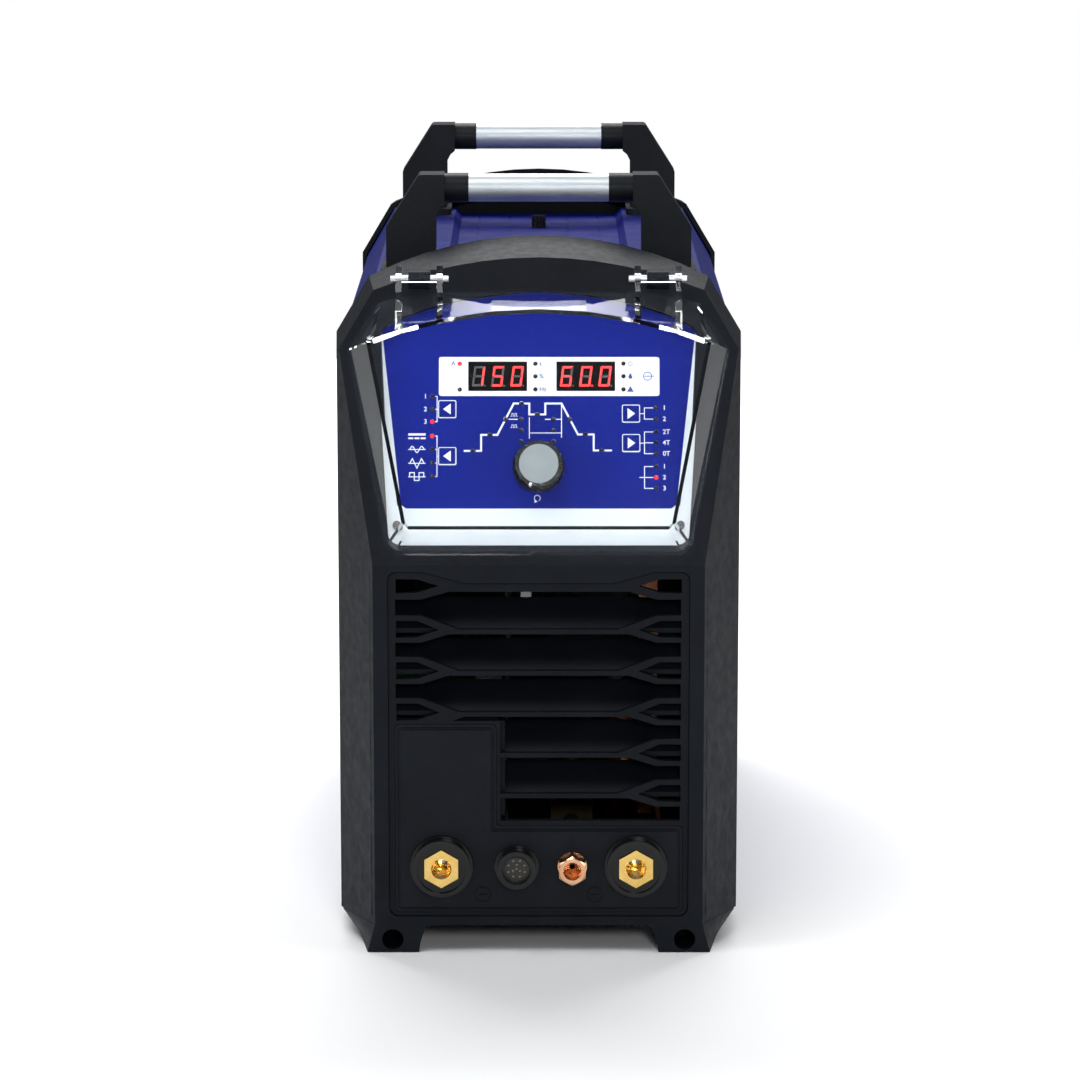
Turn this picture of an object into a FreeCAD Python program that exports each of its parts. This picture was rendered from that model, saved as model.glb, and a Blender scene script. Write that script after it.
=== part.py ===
# AC/DC TIG welding machine: inverter power source in a six-sided case, 600 mm long.
# Row frame: +X to the operator's right, +Y to the back, +Z up. Front panel faces -Y.
# Everything is drawn with y = 0 on the lower front face, then moved so that the
# origin is the centre of the bounding box at floor level.
import FreeCAD, Part
import math, os
from FreeCAD import Vector as V

os.makedirs("parts", exist_ok=True)

# ---------------------------------------------------------------- driving sizes
TILT = 17.5          # control panel leans back by this many degrees
Z_KINK = 254.8       # height where the front face starts to lean back
Y_SEAM_F = 105.0     # back edge of the front bezel
Y_SEAM_R = 525.0     # front edge of the rear bezel
Y_BACK = 600.0       # rear face of the rear bezel
HALF_W = 132.0       # half the overall width, at the bezel seams
HALF_FACE = 105.6    # half width of the flat front face
Z_VERT = 389.7       # height of the widest upper corner
Z_CORN = 425.9       # height of the upper corner
X_CORN = 110.5       # half width at the upper corner
Z_CREST = 452.5      # top of the bezel arch
WALL = 3.0           # moulded wall
SHEET = 1.5          # cover sheet
FOOT_H = 18.0        # foot height
Y_HAND_F = 148.0     # front handle centre line
Y_HAND_R = 500.0     # rear handle centre line
Z_GRIP = 479.0       # grip tube centre height
R_GRIP = 9.2        # grip tube outer radius
PANEL_DEPTH = 7.6    # control panel sits this deep in its recess
KNOB_W = 63.7        # knob centre above the kink, along the slope
HINGE_W = 182.5      # cover hinge axis above the kink, along the slope
HINGE_O = 9.0        # and in front of the sloping face
R_DINSE = 6.65        # bore of the current sockets
DINSE_X = 62.5       # current sockets left and right of centre
CONN_Z = 57.6        # centre height of the front connectors
FAN_Z = 236.0        # fan centre height
Y_SHIFT = -303.762    # moves the case so that its box is centred on y = 0
UP, AX, AY, AZ = V(0, 0, 1), V(1, 0, 0), V(0, 1, 0), V(0, 0, 1)

parts = {}


def add(name, shape):
    if isinstance(shape, (list, tuple)):
        shape = Part.makeCompound(list(shape))
    parts[name] = shape
    return shape


# ---------------------------------------------------------------- small helpers
def box(x0, x1, y0, y1, z0, z1):
    return Part.makeBox(x1 - x0, y1 - y0, z1 - z0, V(x0, y0, z0))


def cyl(x, y, z, r, h, axis=AY):
    return Part.makeCylinder(r, h, V(x, y, z), axis)


def prism(pts, y0, y1):
    w = Part.makePolygon([V(x, y0, z) for x, z in pts] + [V(pts[0][0], y0, pts[0][1])])
    return Part.Face(w).extrude(V(0, y1 - y0, 0))


def prism_x(pts, x0, x1):
    w = Part.makePolygon([V(x0, y, z) for y, z in pts] + [V(x0, pts[0][0], pts[0][1])])
    return Part.Face(w).extrude(V(x1 - x0, 0, 0))


def prism_z(pts, z0, z1):
    w = Part.makePolygon([V(x, y, z0) for x, y in pts] + [V(pts[0][0], pts[0][1], z0)])
    return Part.Face(w).extrude(V(0, 0, z1 - z0))


def hexa(x, z, af, y0, y1, turn=30):
    r = af / 2.0 / math.cos(math.radians(30))
    return prism([(x + r * math.cos(math.radians(60 * k + turn)), z + r * math.sin(math.radians(60 * k + turn))) for k in range(6)], y0, y1)


def rounded(pts, r):
    """Corner-rounded version of a closed polygon, as a point list."""
    out, n = [], len(pts)
    for i in range(n):
        (ax, az), (bx, bz), (cx, cz) = pts[i - 1], pts[i], pts[(i + 1) % n]
        d1, d2 = math.hypot(ax - bx, az - bz), math.hypot(cx - bx, cz - bz)
        u1, u2 = ((ax - bx) / d1, (az - bz) / d1), ((cx - bx) / d2, (cz - bz) / d2)
        cosv = u1[0] * u2[0] + u1[1] * u2[1]
        ang = math.acos(max(-1, min(1, cosv)))
        rr = r[i] if isinstance(r, (list, tuple)) else r
        if rr <= 0 or ang > math.radians(174):
            out.append((bx, bz))
            continue
        t = min(rr / math.tan(ang / 2), 0.45 * d1, 0.45 * d2)
        rr = t * math.tan(ang / 2)
        h = rr / math.sin(ang / 2)
        bis = (u1[0] + u2[0], u1[1] + u2[1])
        bl = math.hypot(*bis)
        c = (bx + bis[0] / bl * h, bz + bis[1] / bl * h)
        p0 = (bx + u1[0] * t, bz + u1[1] * t)
        p1 = (bx + u2[0] * t, bz + u2[1] * t)
        a0, a1 = math.atan2(p0[1] - c[1], p0[0] - c[0]), math.atan2(p1[1] - c[1], p1[0] - c[0])
        while a1 - a0 > math.pi:
            a1 -= 2 * math.pi
        while a1 - a0 < -math.pi:
            a1 += 2 * math.pi
        k = max(2, int(abs(a1 - a0) / 0.32) + 1)
        for j in range(k + 1):
            a = a0 + (a1 - a0) * j / k
            out.append((c[0] + rr * math.cos(a), c[1] + rr * math.sin(a)))
    return out


def inset(pts, d):
    """Mitred inset of a closed polygon (positive d shrinks a counter-clockwise one)."""
    n, out = len(pts), []
    area = sum(pts[i - 1][0] * pts[i][1] - pts[i][0] * pts[i - 1][1] for i in range(n))
    s = 1 if area > 0 else -1
    for i in range(n):
        (ax, az), (bx, bz), (cx, cz) = pts[i - 1], pts[i], pts[(i + 1) % n]
        e1, e2 = (bx - ax, bz - az), (cx - bx, cz - bz)
        l1, l2 = math.hypot(*e1), math.hypot(*e2)
        n1, n2 = (-e1[1] / l1 * s, e1[0] / l1 * s), (-e2[1] / l2 * s, e2[0] / l2 * s)
        m = (n1[0] + n2[0], n1[1] + n2[1])
        k = d * 2 / (m[0] ** 2 + m[1] ** 2)
        out.append((bx + m[0] * k, bz + m[1] * k))
    return out


def sheet(pts, t, y0, y1):
    """Folded sheet: an open polyline in X-Z, thickened by t to its left, run along Y."""
    left = []
    n = len(pts)
    for i in range(n):
        if i == 0:
            e = (pts[1][0] - pts[0][0], pts[1][1] - pts[0][1])
            l = math.hypot(*e)
            m = (-e[1] / l, e[0] / l)
            left.append((pts[0][0] + m[0] * t, pts[0][1] + m[1] * t))
        elif i == n - 1:
            e = (pts[-1][0] - pts[-2][0], pts[-1][1] - pts[-2][1])
            l = math.hypot(*e)
            m = (-e[1] / l, e[0] / l)
            left.append((pts[-1][0] + m[0] * t, pts[-1][1] + m[1] * t))
        else:
            e1 = (pts[i][0] - pts[i - 1][0], pts[i][1] - pts[i - 1][1])
            e2 = (pts[i + 1][0] - pts[i][0], pts[i + 1][1] - pts[i][1])
            l1, l2 = math.hypot(*e1), math.hypot(*e2)
            n1, n2 = (-e1[1] / l1, e1[0] / l1), (-e2[1] / l2, e2[0] / l2)
            m = (n1[0] + n2[0], n1[1] + n2[1])
            k = t * 2 / (m[0] ** 2 + m[1] ** 2)
            left.append((pts[i][0] + m[0] * k, pts[i][1] + m[1] * k))
    return prism(list(pts) + left[::-1], y0, y1)


def tilt(shape):
    """From the sloping panel's own frame (x, depth inwards, up the slope) to the case."""
    s = shape.copy()
    s.rotate(V(0, 0, 0), AX, -TILT)
    s.translate(V(0, 0, Z_KINK))
    return s


def mirror_x(shape):
    return shape.mirror(V(0, 0, 0), AX)


def fuse(*s):
    r = s[0].fuse(list(s[1:])) if len(s) > 1 else s[0]
    return r.removeSplitter()


def loft(sections):
    return Part.makeLoft([Part.makePolygon([V(*p) for p in sec] + [V(*sec[0])]) for sec in sections], True, True)


# ---------------------------------------------------------------- case outline
ARCH_N = 12


def outline(y, hw, zv, xc, zc, zt, foot_x, low_z, z_bot=0.0, d=0.0):
    """Closed six-sided section with an arched top, at depth y, shrunk by d."""
    right = [(foot_x, z_bot), (hw, low_z), (hw, zv), (xc, zc)]
    sag = zt - zc
    R = (xc * xc + sag * sag) / (2 * sag)
    arch = []
    for k in range(1, ARCH_N):
        x = xc - 2 * xc * k / ARCH_N
        arch.append((x, zt - (R - math.sqrt(R * R - x * x))))
    pts = right + arch + [(-x, z) for x, z in reversed(right)]
    if d:
        pts = inset(pts, d)
    return [(x, y, z) for x, z in pts]


def front_sections(d=0.0, y_in=0.0, zb=0.0):
    f = (lambda y: y + y_in)
    return [
        outline(f(0.0), HALF_FACE, 399.0, 98.5, 421.5, 431.7, 110.5, 18.7, zb, d),
        outline(45.0, 129.3, 385.2, 105.0, 423.2, 441.0, 117.0, 17.5, zb, d),
        outline(Y_SEAM_F + (1 if d else 0), HALF_W, Z_VERT, X_CORN, Z_CORN, Z_CREST, 119.0, 17.0, zb, d),
    ]


# louvred insert outline (in front view) and the L-shaped connector plate
INSERT = [(-95.8, 24.2), (95.8, 24.2), (95.8, 249.6), (73.5, 249.6), (47.0, 242.4), (-47.0, 242.4), (-73.5, 249.6), (-95.8, 249.6)]
INSERT_R = [6, 6, 5, 4, 4, 4, 4, 5]
LPLATE = [(-91.9, 27.4), (92.3, 27.4), (92.3, 83.6), (-27.4, 83.6), (-27.4, 150.6), (-91.9, 150.6)]
LPLATE_R = [2.5, 2.5, 3, 3, 3, 3]

# control recess outline in the sloping frame (x, w)
RECESS = [(-94.6, 13.6), (94.6, 13.6), (101.2, 151.0)]
_sag = 22.6
_R = (100.8 ** 2 + _sag ** 2) / (2 * _sag)
for k in range(1, 14):
    x = 98.0 - 2 * 98.0 * k / 14
    RECESS.append((x, 174.6 - (_R - math.sqrt(_R * _R - x * x))))
RECESS.append((-101.2, 151.0))
RECESS_R = [7, 7, 9] + [0] * 13 + [9]
RECESS_P = rounded(RECESS, RECESS_R)


def local_prism(pts, o0, o1):
    """Prism in the sloping frame; o is the height in front of the sloping face."""
    return prism(pts, -o1, -o0)


# ---------------------------------------------------------------- front bezel
outer = loft(front_sections())
outer = outer.cut(tilt(box(-200, 200, -150, 0, 0, 330)))
inner = loft([
    outline(WALL, HALF_FACE - 2.4, 396, 95.5, 418.5, 428.5, 102.8, 21.0, 21.0),
    outline(45.0, 126.3, 384.0, 103.0, 420.2, 437.8, 124.0, 21.0, 21.0),
    outline(Y_SEAM_F + 1, 129.0, 388.5, 108.5, 422.9, 449.3, 126.5, 21.0, 21.0),
])
inner = inner.cut(tilt(box(-200, 200, -150, WALL, -1.5, 330)))
bez = outer.cut(inner)
# underside: the feet are 43 mm long, the rest of the underside is raised
bez = bez.cut(box(-160, 160, -5, 110, -1, FOOT_H))
# window for the louvred insert, and for the control panel
bez = bez.cut(prism(rounded(inset(INSERT, -0.5), INSERT_R), -1, 6))
bez = bez.cut(tilt(local_prism(RECESS_P, -6, 1)))
# recess wall running back from the sloping face to the control panel
collar = local_prism(rounded(inset(RECESS, -2.5), RECESS_R), -PANEL_DEPTH, -WALL).cut(local_prism(RECESS_P, -PANEL_DEPTH - 1, 0))
bez = bez.fuse(tilt(collar))
# shallow seat for the clear cover's rim
# trolley locating sockets in the feet
bez = bez.removeSplitter()
# hinge lugs that carry the clear cover
for sx in (-1, 1):
    lug = local_prism([(sx * 69.0, HINGE_W - 5.0), (sx * 83.0, HINGE_W - 5.0), (sx * 83.0, HINGE_W + 4.6), (sx * 69.0, HINGE_W + 4.6)], -1.0, HINGE_O)
    lug = lug.fuse(Part.makeCylinder(4.9, 14, V(sx * 76 - 7, -HINGE_O, HINGE_W), AX))
    lug = lug.cut(Part.makeCylinder(2.0, 30, V(sx * 76 - 15, -HINGE_O, HINGE_W), AX))
    bez = bez.fuse(tilt(lug))
add("front_bezel", bez.removeSplitter())

# ---------------------------------------------------------------- rear bezel
rs = [
    outline(Y_SEAM_R, HALF_W, Z_VERT, X_CORN, Z_CORN, Z_CREST, 119.0, 17.0),
    outline(562.0, 130.6, 387.0, 108.0, 424.5, 447.0, 117.5, 17.2),
    outline(Y_BACK, 108.0, 378.0, 96.0, 406.0, 428.0, 111.0, 18.5),
]
ri = [
    outline(Y_SEAM_R - 1, 129.0, 388.5, 108.5, 422.9, 449.3, 126.5, 21.0, 21.0),
    outline(562.0, 127.6, 386.0, 106.5, 421.5, 443.8, 125.0, 21.0, 21.0),
    outline(Y_BACK - WALL, 105.4, 376.0, 94.0, 403.5, 425.0, 103.0, 21.0, 21.0),
]
rb = loft(rs).cut(loft(ri))
rb = rb.cut(box(-160, 160, 520, 605, -1, FOOT_H))
# opening of the rear service plate
RPLATE = [(-92, 30), (92, 30), (92, 372), (74, 396), (-74, 396), (-92, 372)]
rb = rb.cut(prism(rounded(RPLATE, 6), 590, 605))
add("rear_bezel", rb.removeSplitter())

# ---------------------------------------------------------------- feet, each with a round hole for a trolley's peg
FEET = []
edge = [(77.2, -3), (77.2, 0), (76.4, 6), (74.6, 12), (72.4, FOOT_H), (135, FOOT_H), (135, -3)]
for tag, secs, y0, y1, yh in (
        ("front", [(0.0, 110.5, HALF_FACE, 18.7), (45.0, 117.0, 129.3, 17.5)], 0.0, 43.0, 0.0),
        ("rear", [(Y_SEAM_R, 119.0, HALF_W, 17.0), (562.0, 117.5, 130.6, 17.2), (Y_BACK, 111.0, 108.0, 18.5)], 557.0, 600.0, 568.0)):
    ring = []
    for y, fx, hw, lz in secs:
        k = (hw - fx) / lz
        ring.append([(-40.0, y, -2.0), (fx - 2.0 * k, y, -2.0), (fx + 17.0 * k, y, 17.0), (fx + 17.0 * k, y, 20.0), (-40.0, y, 20.0)])
    blk = loft(ring).common(box(0, 140, y0, y1, 0, FOOT_H)).common(prism(edge, y0 - 1, y1 + 1))
    blk = blk.cut(cyl(94.2, yh if tag == "rear" else -1.0, 8.3, 6.9, 33, AY)).removeSplitter()
    FEET.extend([blk, mirror_x(blk)])
add("feet", FEET)

# ---------------------------------------------------------------- rear plate, fan guard
rp = prism(rounded(inset(RPLATE, 0.4), 6), 594.6, 597.6)
rp = rp.fuse(prism(rounded(inset(RPLATE, -5), 6), 592.8, 594.6).cut(box(-200, 200, 590, 600, -10, 22)))
rp = rp.cut(cyl(0, 590, FAN_Z, 71.0, 12))
for x, z, r in ((-58, 352, 15.2), (-50, 70, 13.2), (30, 70, 14.2), (68, 70, 8.2), (62, 352, 6.2)):
    rp = rp.cut(cyl(x, 590, z, r, 12))
for k in range(5):
    for sx in (-1, 1):
        rp = rp.cut(prism(rounded([(sx * 14 - 8, 322 + 9 * k), (sx * 14 + 8, 322 + 9 * k), (sx * 14 + 8, 326 + 9 * k), (sx * 14 - 8, 326 + 9 * k)], 1.9), 590, 600))
add("rear_plate", rp.removeSplitter())

rings = []
for r in (14, 24, 34, 44, 54, 64):
    rings.append(Part.makeTorus(r, 1.3, V(0, 601.0, FAN_Z), AY))
g = cyl(0, 600.0, FAN_Z, 8, 2.4)
for r in rings:
    g = g.fuse(r)
g = g.fuse(cyl(0, 598.0, FAN_Z, 76, 4.0).cut(cyl(0, 597, FAN_Z, 68.5, 8)))
for k in range(4):
    a = math.radians(45 + 90 * k)
    spoke = box(5, 70, 599.6, 602.2, -1.6, 1.6)
    spoke.rotate(V(0, 600, 0), AY, math.degrees(a))
    spoke.translate(V(0, 0, FAN_Z))
    g = g.fuse(spoke)
add("fan_guard", g.removeSplitter())

# ---------------------------------------------------------------- fan
FY0, FY1 = 556.0, 592.0
ff = prism(rounded([(-72, FAN_Z - 72), (72, FAN_Z - 72), (72, FAN_Z + 72), (-72, FAN_Z + 72)], 9), FY0, FY1)
ff = ff.cut(cyl(0, FY0 - 1, FAN_Z, 67.5, 60))
hub_f = cyl(0, FY0, FAN_Z, 21, 5)
for k in range(4):
    st = box(15, 69, FY0, FY0 + 4, -2.5, 2.5)
    st.rotate(V(0, FY0, 0), AY, 45 + 90 * k)
    st.translate(V(0, 0, FAN_Z))
    hub_f = hub_f.fuse(st)
ff = ff.fuse(hub_f)
ff = ff.fuse(cyl(0, FY0 + 5, FAN_Z, 3.0, 20))
add("fan_frame", ff.removeSplitter())

rot = cyl(0, FY0 + 6.5, FAN_Z, 22, 24).cut(cyl(0, FY0 + 4, FAN_Z, 3.05, 23))
for k in range(7):
    b = Part.makeBox(43.0, 1.8, 26.0, V(20.5, -0.9, -13.0))
    b.rotate(V(0, 0, 0), AX, 52)
    b = b.common(Part.makeCylinder(64.5, 22, V(0, -11, 0), AY))
    b.rotate(V(0, 0, 0), AY, 360.0 / 7 * k)
    b.translate(V(0, FY0 + 18.5, FAN_Z))
    rot = rot.fuse(b)
add("fan_rotor", rot.removeSplitter())

# ---------------------------------------------------------------- chassis and covers
pan = sheet([(-118.0, 44), (-118.0, 21.2), (118.0, 21.2), (118.0, 44)], 2.0, 46, 554)
for sx in (-1, 1):
    for y in (160, 300, 440):
        pan = pan.cut(Part.makeCylinder(2.6, 14, V(sx * 126, y, 36), V(-sx, 0, 0)))
add("base_pan", pan.removeSplitter())

YC0, YC1 = Y_SEAM_F + 0.2, Y_SEAM_R - 0.2
for name, sx in (("left_side_cover", -1), ("right_side_cover", 1)):
    prof = [(104.2, 423.6), (107.2, 423.6), (127.6, 388.4), (127.6, 24.0), (116.8, 18.2), (100.0, 18.2)]
    c = sheet([(-x, z) for x, z in prof] if sx < 0 else prof[::-1], SHEET, YC0, YC1) if sx < 0 else mirror_x(sheet([(-x, z) for x, z in prof], SHEET, YC0, YC1))
    # pressed cooling slots, two groups
    for gy in (150, 400):
        for k in range(9):
            z = 96 + 13 * k
            s = Part.makeBox(20, 78, 4.5, V(sx * 128 - 10, gy, z))
            c = c.cut(s)
    for y in (160, 300, 440):
        c = c.cut(Part.makeCylinder(2.6, 12, V(sx * 132, y, 36), V(-sx, 0, 0)))
    add(name, c)

# top cover: rails at the sides, a shallow tray between the handles
top_prof = [(104.0, 423.6), (61.5, 423.6), (57.0, 418.6), (-57.0, 418.6), (-61.5, 423.6), (-104.0, 423.6)]
tc = sheet([(x, z) for x, z in top_prof], SHEET, YC0, YC1)
lip = box(-103.8, -57, YC0, YC1, 416.6, 422.8).cut(box(-102.3, -30, YC0 - 1, YC1 + 1, 410, 430))
tc = tc.fuse(lip).fuse(mirror_x(lip))
for gx in (-43.6, -21.2, 21.2, 43.6):
    tc = tc.cut(box(gx - 0.6, gx + 0.6, YC0 + 12, YC1 - 6, 418.1, 419.2))
tc = tc.cut(Part.makeCylinder(3.1, 20, V(0, 438, 405), AZ))
for yh in (Y_HAND_F, Y_HAND_R):
    for sx in (-1, 1):
        for dy in ((-20, 20) if yh < 300 else (-20, 18)):
            tc = tc.cut(Part.makeCylinder(2.6, 30, V(sx * 83.5, yh + dy, 405), AZ))
add("top_cover", tc.removeSplitter())

SCREWS = []
sc = []
for sx in (-1, 1):
    for y in (160, 300, 440):
        s = Part.makeCylinder(4.6, 1.9, V(sx * 129.5, y, 36), V(-sx, 0, 0))
        s = s.fuse(Part.makeCylinder(2.4, 13.0, V(sx * 129.0, y, 36), V(-sx, 0, 0)))
        s = s.cut(box(sx * 129.2 - 0.8, sx * 129.2 + 0.8, y - 3.2, y + 3.2, 35.4, 36.6)).cut(box(sx * 129.2 - 0.8, sx * 129.2 + 0.8, y - 0.6, y + 0.6, 32.8, 39.2))
        sc.append(s)
SCREWS.extend(sc)

# knurled thumbscrew that clamps the tray section
ts = cyl(0, 438, 418.6, 5.2, 8.2, AZ).fuse(cyl(0, 438, 426.0, 4.6, 1.4, AZ)).fuse(cyl(0, 438, 406.0, 2.9, 13.0, AZ))
for k in range(20):
    a = 2 * math.pi * k / 20
    ts = ts.cut(cyl(5.35 * math.cos(a), 438 + 5.35 * math.sin(a), 419.6, 0.42, 6.0, AZ))
add("tray_thumbscrew", ts)

# ---------------------------------------------------------------- handles
LEGS, TUBES, RODS = [], [], []


def handle(tag, yc):
    leg_pts = [(100.4, 428.0), (100.4, 454.2), (78.6, 488.6), (62.0, 488.6), (62.0, 469.2), (65.0, 466.8), (67.7, 461.5), (67.7, 428.0)]
    leg_pts = rounded(leg_pts, [0, 3, 3, 0, 0, 4, 0, 0])
    leg = prism(leg_pts, yc - 12, yc + 12)
    leg = leg.fuse(Part.makeCylinder(9.6, 26.0, V(46.2, yc, Z_GRIP), AX))
    leg = leg.fuse(Part.makeCylinder(8.1, 14.0, V(36.2, yc, Z_GRIP), AX))
    base = prism_z(rounded([(64.5, yc - 27), (103.4, yc - 27), (103.4, yc + 24), (64.5, yc + 24)], 4), 423.6, 428.0)
    leg = leg.fuse(base)
    leg = leg.cut(Part.makeCylinder(5.0, 34.2, V(30.0, yc, Z_GRIP), AX))
    for dy in ((-20, 20) if yc < 300 else (-20, 18)):
        leg = leg.cut(Part.makeCylinder(2.6, 12, V(83.5, yc + dy, 420), AZ))
    leg = leg.removeSplitter()
    LEGS.extend([leg, mirror_x(leg)])
    tube = Part.makeCylinder(R_GRIP, 92.2, V(-46.1, yc, Z_GRIP), AX).cut(Part.makeCylinder(8.15, 100, V(-50, yc, Z_GRIP), AX))
    TUBES.append(tube)
    RODS.append(Part.makeCylinder(4.95, 128.0, V(-64.0, yc, Z_GRIP), AX))


handle("front", Y_HAND_F)
handle("rear", Y_HAND_R)
add("handle_legs", LEGS)
add("grip_tubes", TUBES)
add("handle_rods", RODS)
hb = []
for yh in (Y_HAND_F, Y_HAND_R):
    for sx in (-1, 1):
        for dy in ((-20, 20) if yh < 300 else (-20, 18)):
            b = cyl(sx * 83.5, yh + dy, 428.0, 4.3, 3.4, AZ).fuse(cyl(sx * 83.5, yh + dy, 412.0, 2.4, 17.0, AZ))
            hexs = Part.makePolygon([V(sx * 83.5 + 2.2 * math.cos(math.radians(60 * q)), yh + dy + 2.2 * math.sin(math.radians(60 * q)), 429.6) for q in range(7)])
            hb.append(b.cut(Part.Face(hexs).extrude(V(0, 0, 4))))
SCREWS.extend(hb)

# ---------------------------------------------------------------- louvred insert
ins = prism(rounded(INSERT, INSERT_R), 0.8, 6.0)
fl = [(-100.5, 22.2), (100.5, 22.2), (100.5, 251.5), (-100.5, 251.5)]
ins = ins.fuse(prism(rounded(fl, 4), 3.3, 6.0))
ins = ins.cut(prism(rounded(inset(LPLATE, -0.25), LPLATE_R), -1, 10))
BL = [239.8, 211.2, 184.2, 157.2, 130.4, 103.6]
SLAT = []
for j, zb in enumerate(BL):
    left_full = j < 4
    zt = zb - 2.5 if j == 0 else zb - 1.5
    nz = (BL[j + 1] + 1.5) if j < 5 else 87.2
    # ends of the opening lie lower at the top and higher at the bottom, where blades fork
    e_top, e_bot = zb - 7.0 if j else zb - 7.6, nz + 9.3
    if j == 5:
        e_bot = nz
    right = [(90.6, e_bot), (90.6, e_top), (75.0, e_top), (57.3, zt)]
    if j == 5:
        low_r = [(90.6, nz)]
    else:
        low_r = [(51.0, nz), (62.0, nz + 4.2), (75.0, nz + 9.0), (90.6, e_bot)]
    if left_full and j < 3:
        pts = [(-51.0, nz)] + low_r + [(90.6, e_top), (75.0, e_top), (57.3, zt), (-57.3, zt), (-75.0, e_top), (-91.4, e_top), (-91.4, e_bot), (-75.0, nz + 9.0), (-62.0, nz + 4.2)]
    elif j == 3:
        # this opening meets the top edge of the connector plate on the left
        pts = [(-24.6, nz)] + low_r + [(90.6, e_top), (75.0, e_top), (57.3, zt), (-48.0, zt), (-55.0, 153.0), (-24.6, 153.0)]
    elif j == 4:
        pts = [(-24.6, nz)] + low_r + [(90.6, e_top), (75.0, e_top), (57.3, zt), (-24.6, zt)]
    else:
        pts = [(-24.6, nz), (90.6, nz), (90.6, e_top), (75.0, e_top), (57.3, zt), (-24.6, zt)]
    ins = ins.cut(prism(pts, -1, 10))
    # small eye where the blade forks
    for sx in ((-1, 1) if j < 4 else (1,)):
        up, dn = (5.6, 3.6) if j == 0 else (7.2, 4.0)
        eye = [(sx * 91.0, zb - dn), (sx * 91.0, zb + up), (sx * 77.2, zb + up), (sx * 63.6, zb + 1.2), (sx * 77.2, zb - dn + 0.4)]
        ins = ins.cut(prism(eye, -1, 10))
    # slanting blade behind the opening, rising inwards
    x0 = -96.0 if (left_full and j < 3) else -24.2
    if j < 5:
        zl = nz
        SLAT.append(prism_x([(5.6, zl - 3.0), (5.6, zl), (24.0, zl + 16.5), (25.4, zl + 15.0), (7.4, zl - 3.0)], x0, 96.0))
for s in SLAT:
    ins = ins.fuse(s)
# side cheeks that carry the slanting blades
ins = ins.fuse(box(-98.5, -96.0, 5.6, 26.0, 152.0, 246.0)).fuse(box(96.0, 98.5, 5.6, 26.0, 84.0, 246.0)).fuse(box(-24.2, -21.7, 5.6, 26.0, 90.0, 152.0))
add("vent_grille", ins.removeSplitter())

# ---------------------------------------------------------------- connector plate
lp = prism(rounded(LPLATE, LPLATE_R), 0.5, 4.6)
lp = lp.fuse(prism(rounded(inset(LPLATE, 3.4), 1.6), -0.9, 1.0))
groove = prism(rounded(inset(LPLATE, 1.4), 2), -1, 1.3).cut(prism(rounded(inset(LPLATE, 2.3), 2), -2, 2))
lp = lp.cut(groove)
lp = lp.fuse(prism(rounded(inset(LPLATE, -3.0), 3), 6.05, 7.6).cut(prism(rounded(inset(LPLATE, 3.0), 3), 5, 8.5)))
lp = lp.fuse(prism(rounded(inset(LPLATE, 1.0), 3), 4.0, 7.6).cut(prism(rounded(inset(LPLATE, 3.0), 3), 3, 8.5)))
for sx in (-1, 1):
    lp = lp.cut(cyl(sx * DINSE_X, -5, CONN_Z, 20.4, 20))
lp = lp.cut(cyl(-14.2, -5, CONN_Z, 13.3, 20)).cut(cyl(21.6, -5, CONN_Z, 7.0, 20))
# moulded polarity marks in rings
for x, plus in ((-36.0, False), (36.2, True)):
    lp = lp.cut(cyl(x, -2, 39.0, 5.4, 1.7).cut(cyl(x, -3, 39.0, 4.5, 5)))
    lp = lp.cut(box(x - 2.9, x + 2.9, -2, -0.3, 38.5, 39.5))
    if plus:
        lp = lp.cut(box(x - 0.5, x + 0.5, -2, -0.3, 36.1, 41.9))
lp = lp.cut(box(21.2, 22.0, -2, -0.4, 67.5, 79.0))
add("connector_plate", lp.removeSplitter())

# ---------------------------------------------------------------- current sockets
collars, contacts, keys = [], [], []
for sx in (-1, 1):
    x = sx * DINSE_X
    col = cyl(x, -9.5, CONN_Z, 18.6, 17.3).fuse(cyl(x, 7.8, CONN_Z, 25.0, 4.0)).fuse(cyl(x, 7.8, CONN_Z, 17.0, 14.0))
    col = col.fuse(cyl(x, -3.0, CONN_Z, 20.2, 8.0)).cut(cyl(x, -10.5, CONN_Z, 16.0, 3.0))
    col = col.cut(hexa(x, CONN_Z, 21.7, -12, 30))
    collars.append(col.removeSplitter())
    con = hexa(x, CONN_Z, 21.6, -9.0, 21.0)
    con = con.fuse(cyl(x, 20.0, CONN_Z, 8.0, 26.0))
    con = con.fuse(hexa(x, CONN_Z, 24.0, 21.8, 27.8))
    con = con.cut(cyl(x, -10.0, CONN_Z, R_DINSE, 25.0)).cut(cyl(x, 14.0, CONN_Z, 5.9, 8.0))
    contacts.append(con.removeSplitter())
    # head of the steel draw bolt at the bottom of the bore
    keys.append(cyl(x, 16.8, CONN_Z, 3.5, 5.2))
add("socket_collars", collars)
add("socket_contacts", contacts)

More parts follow.
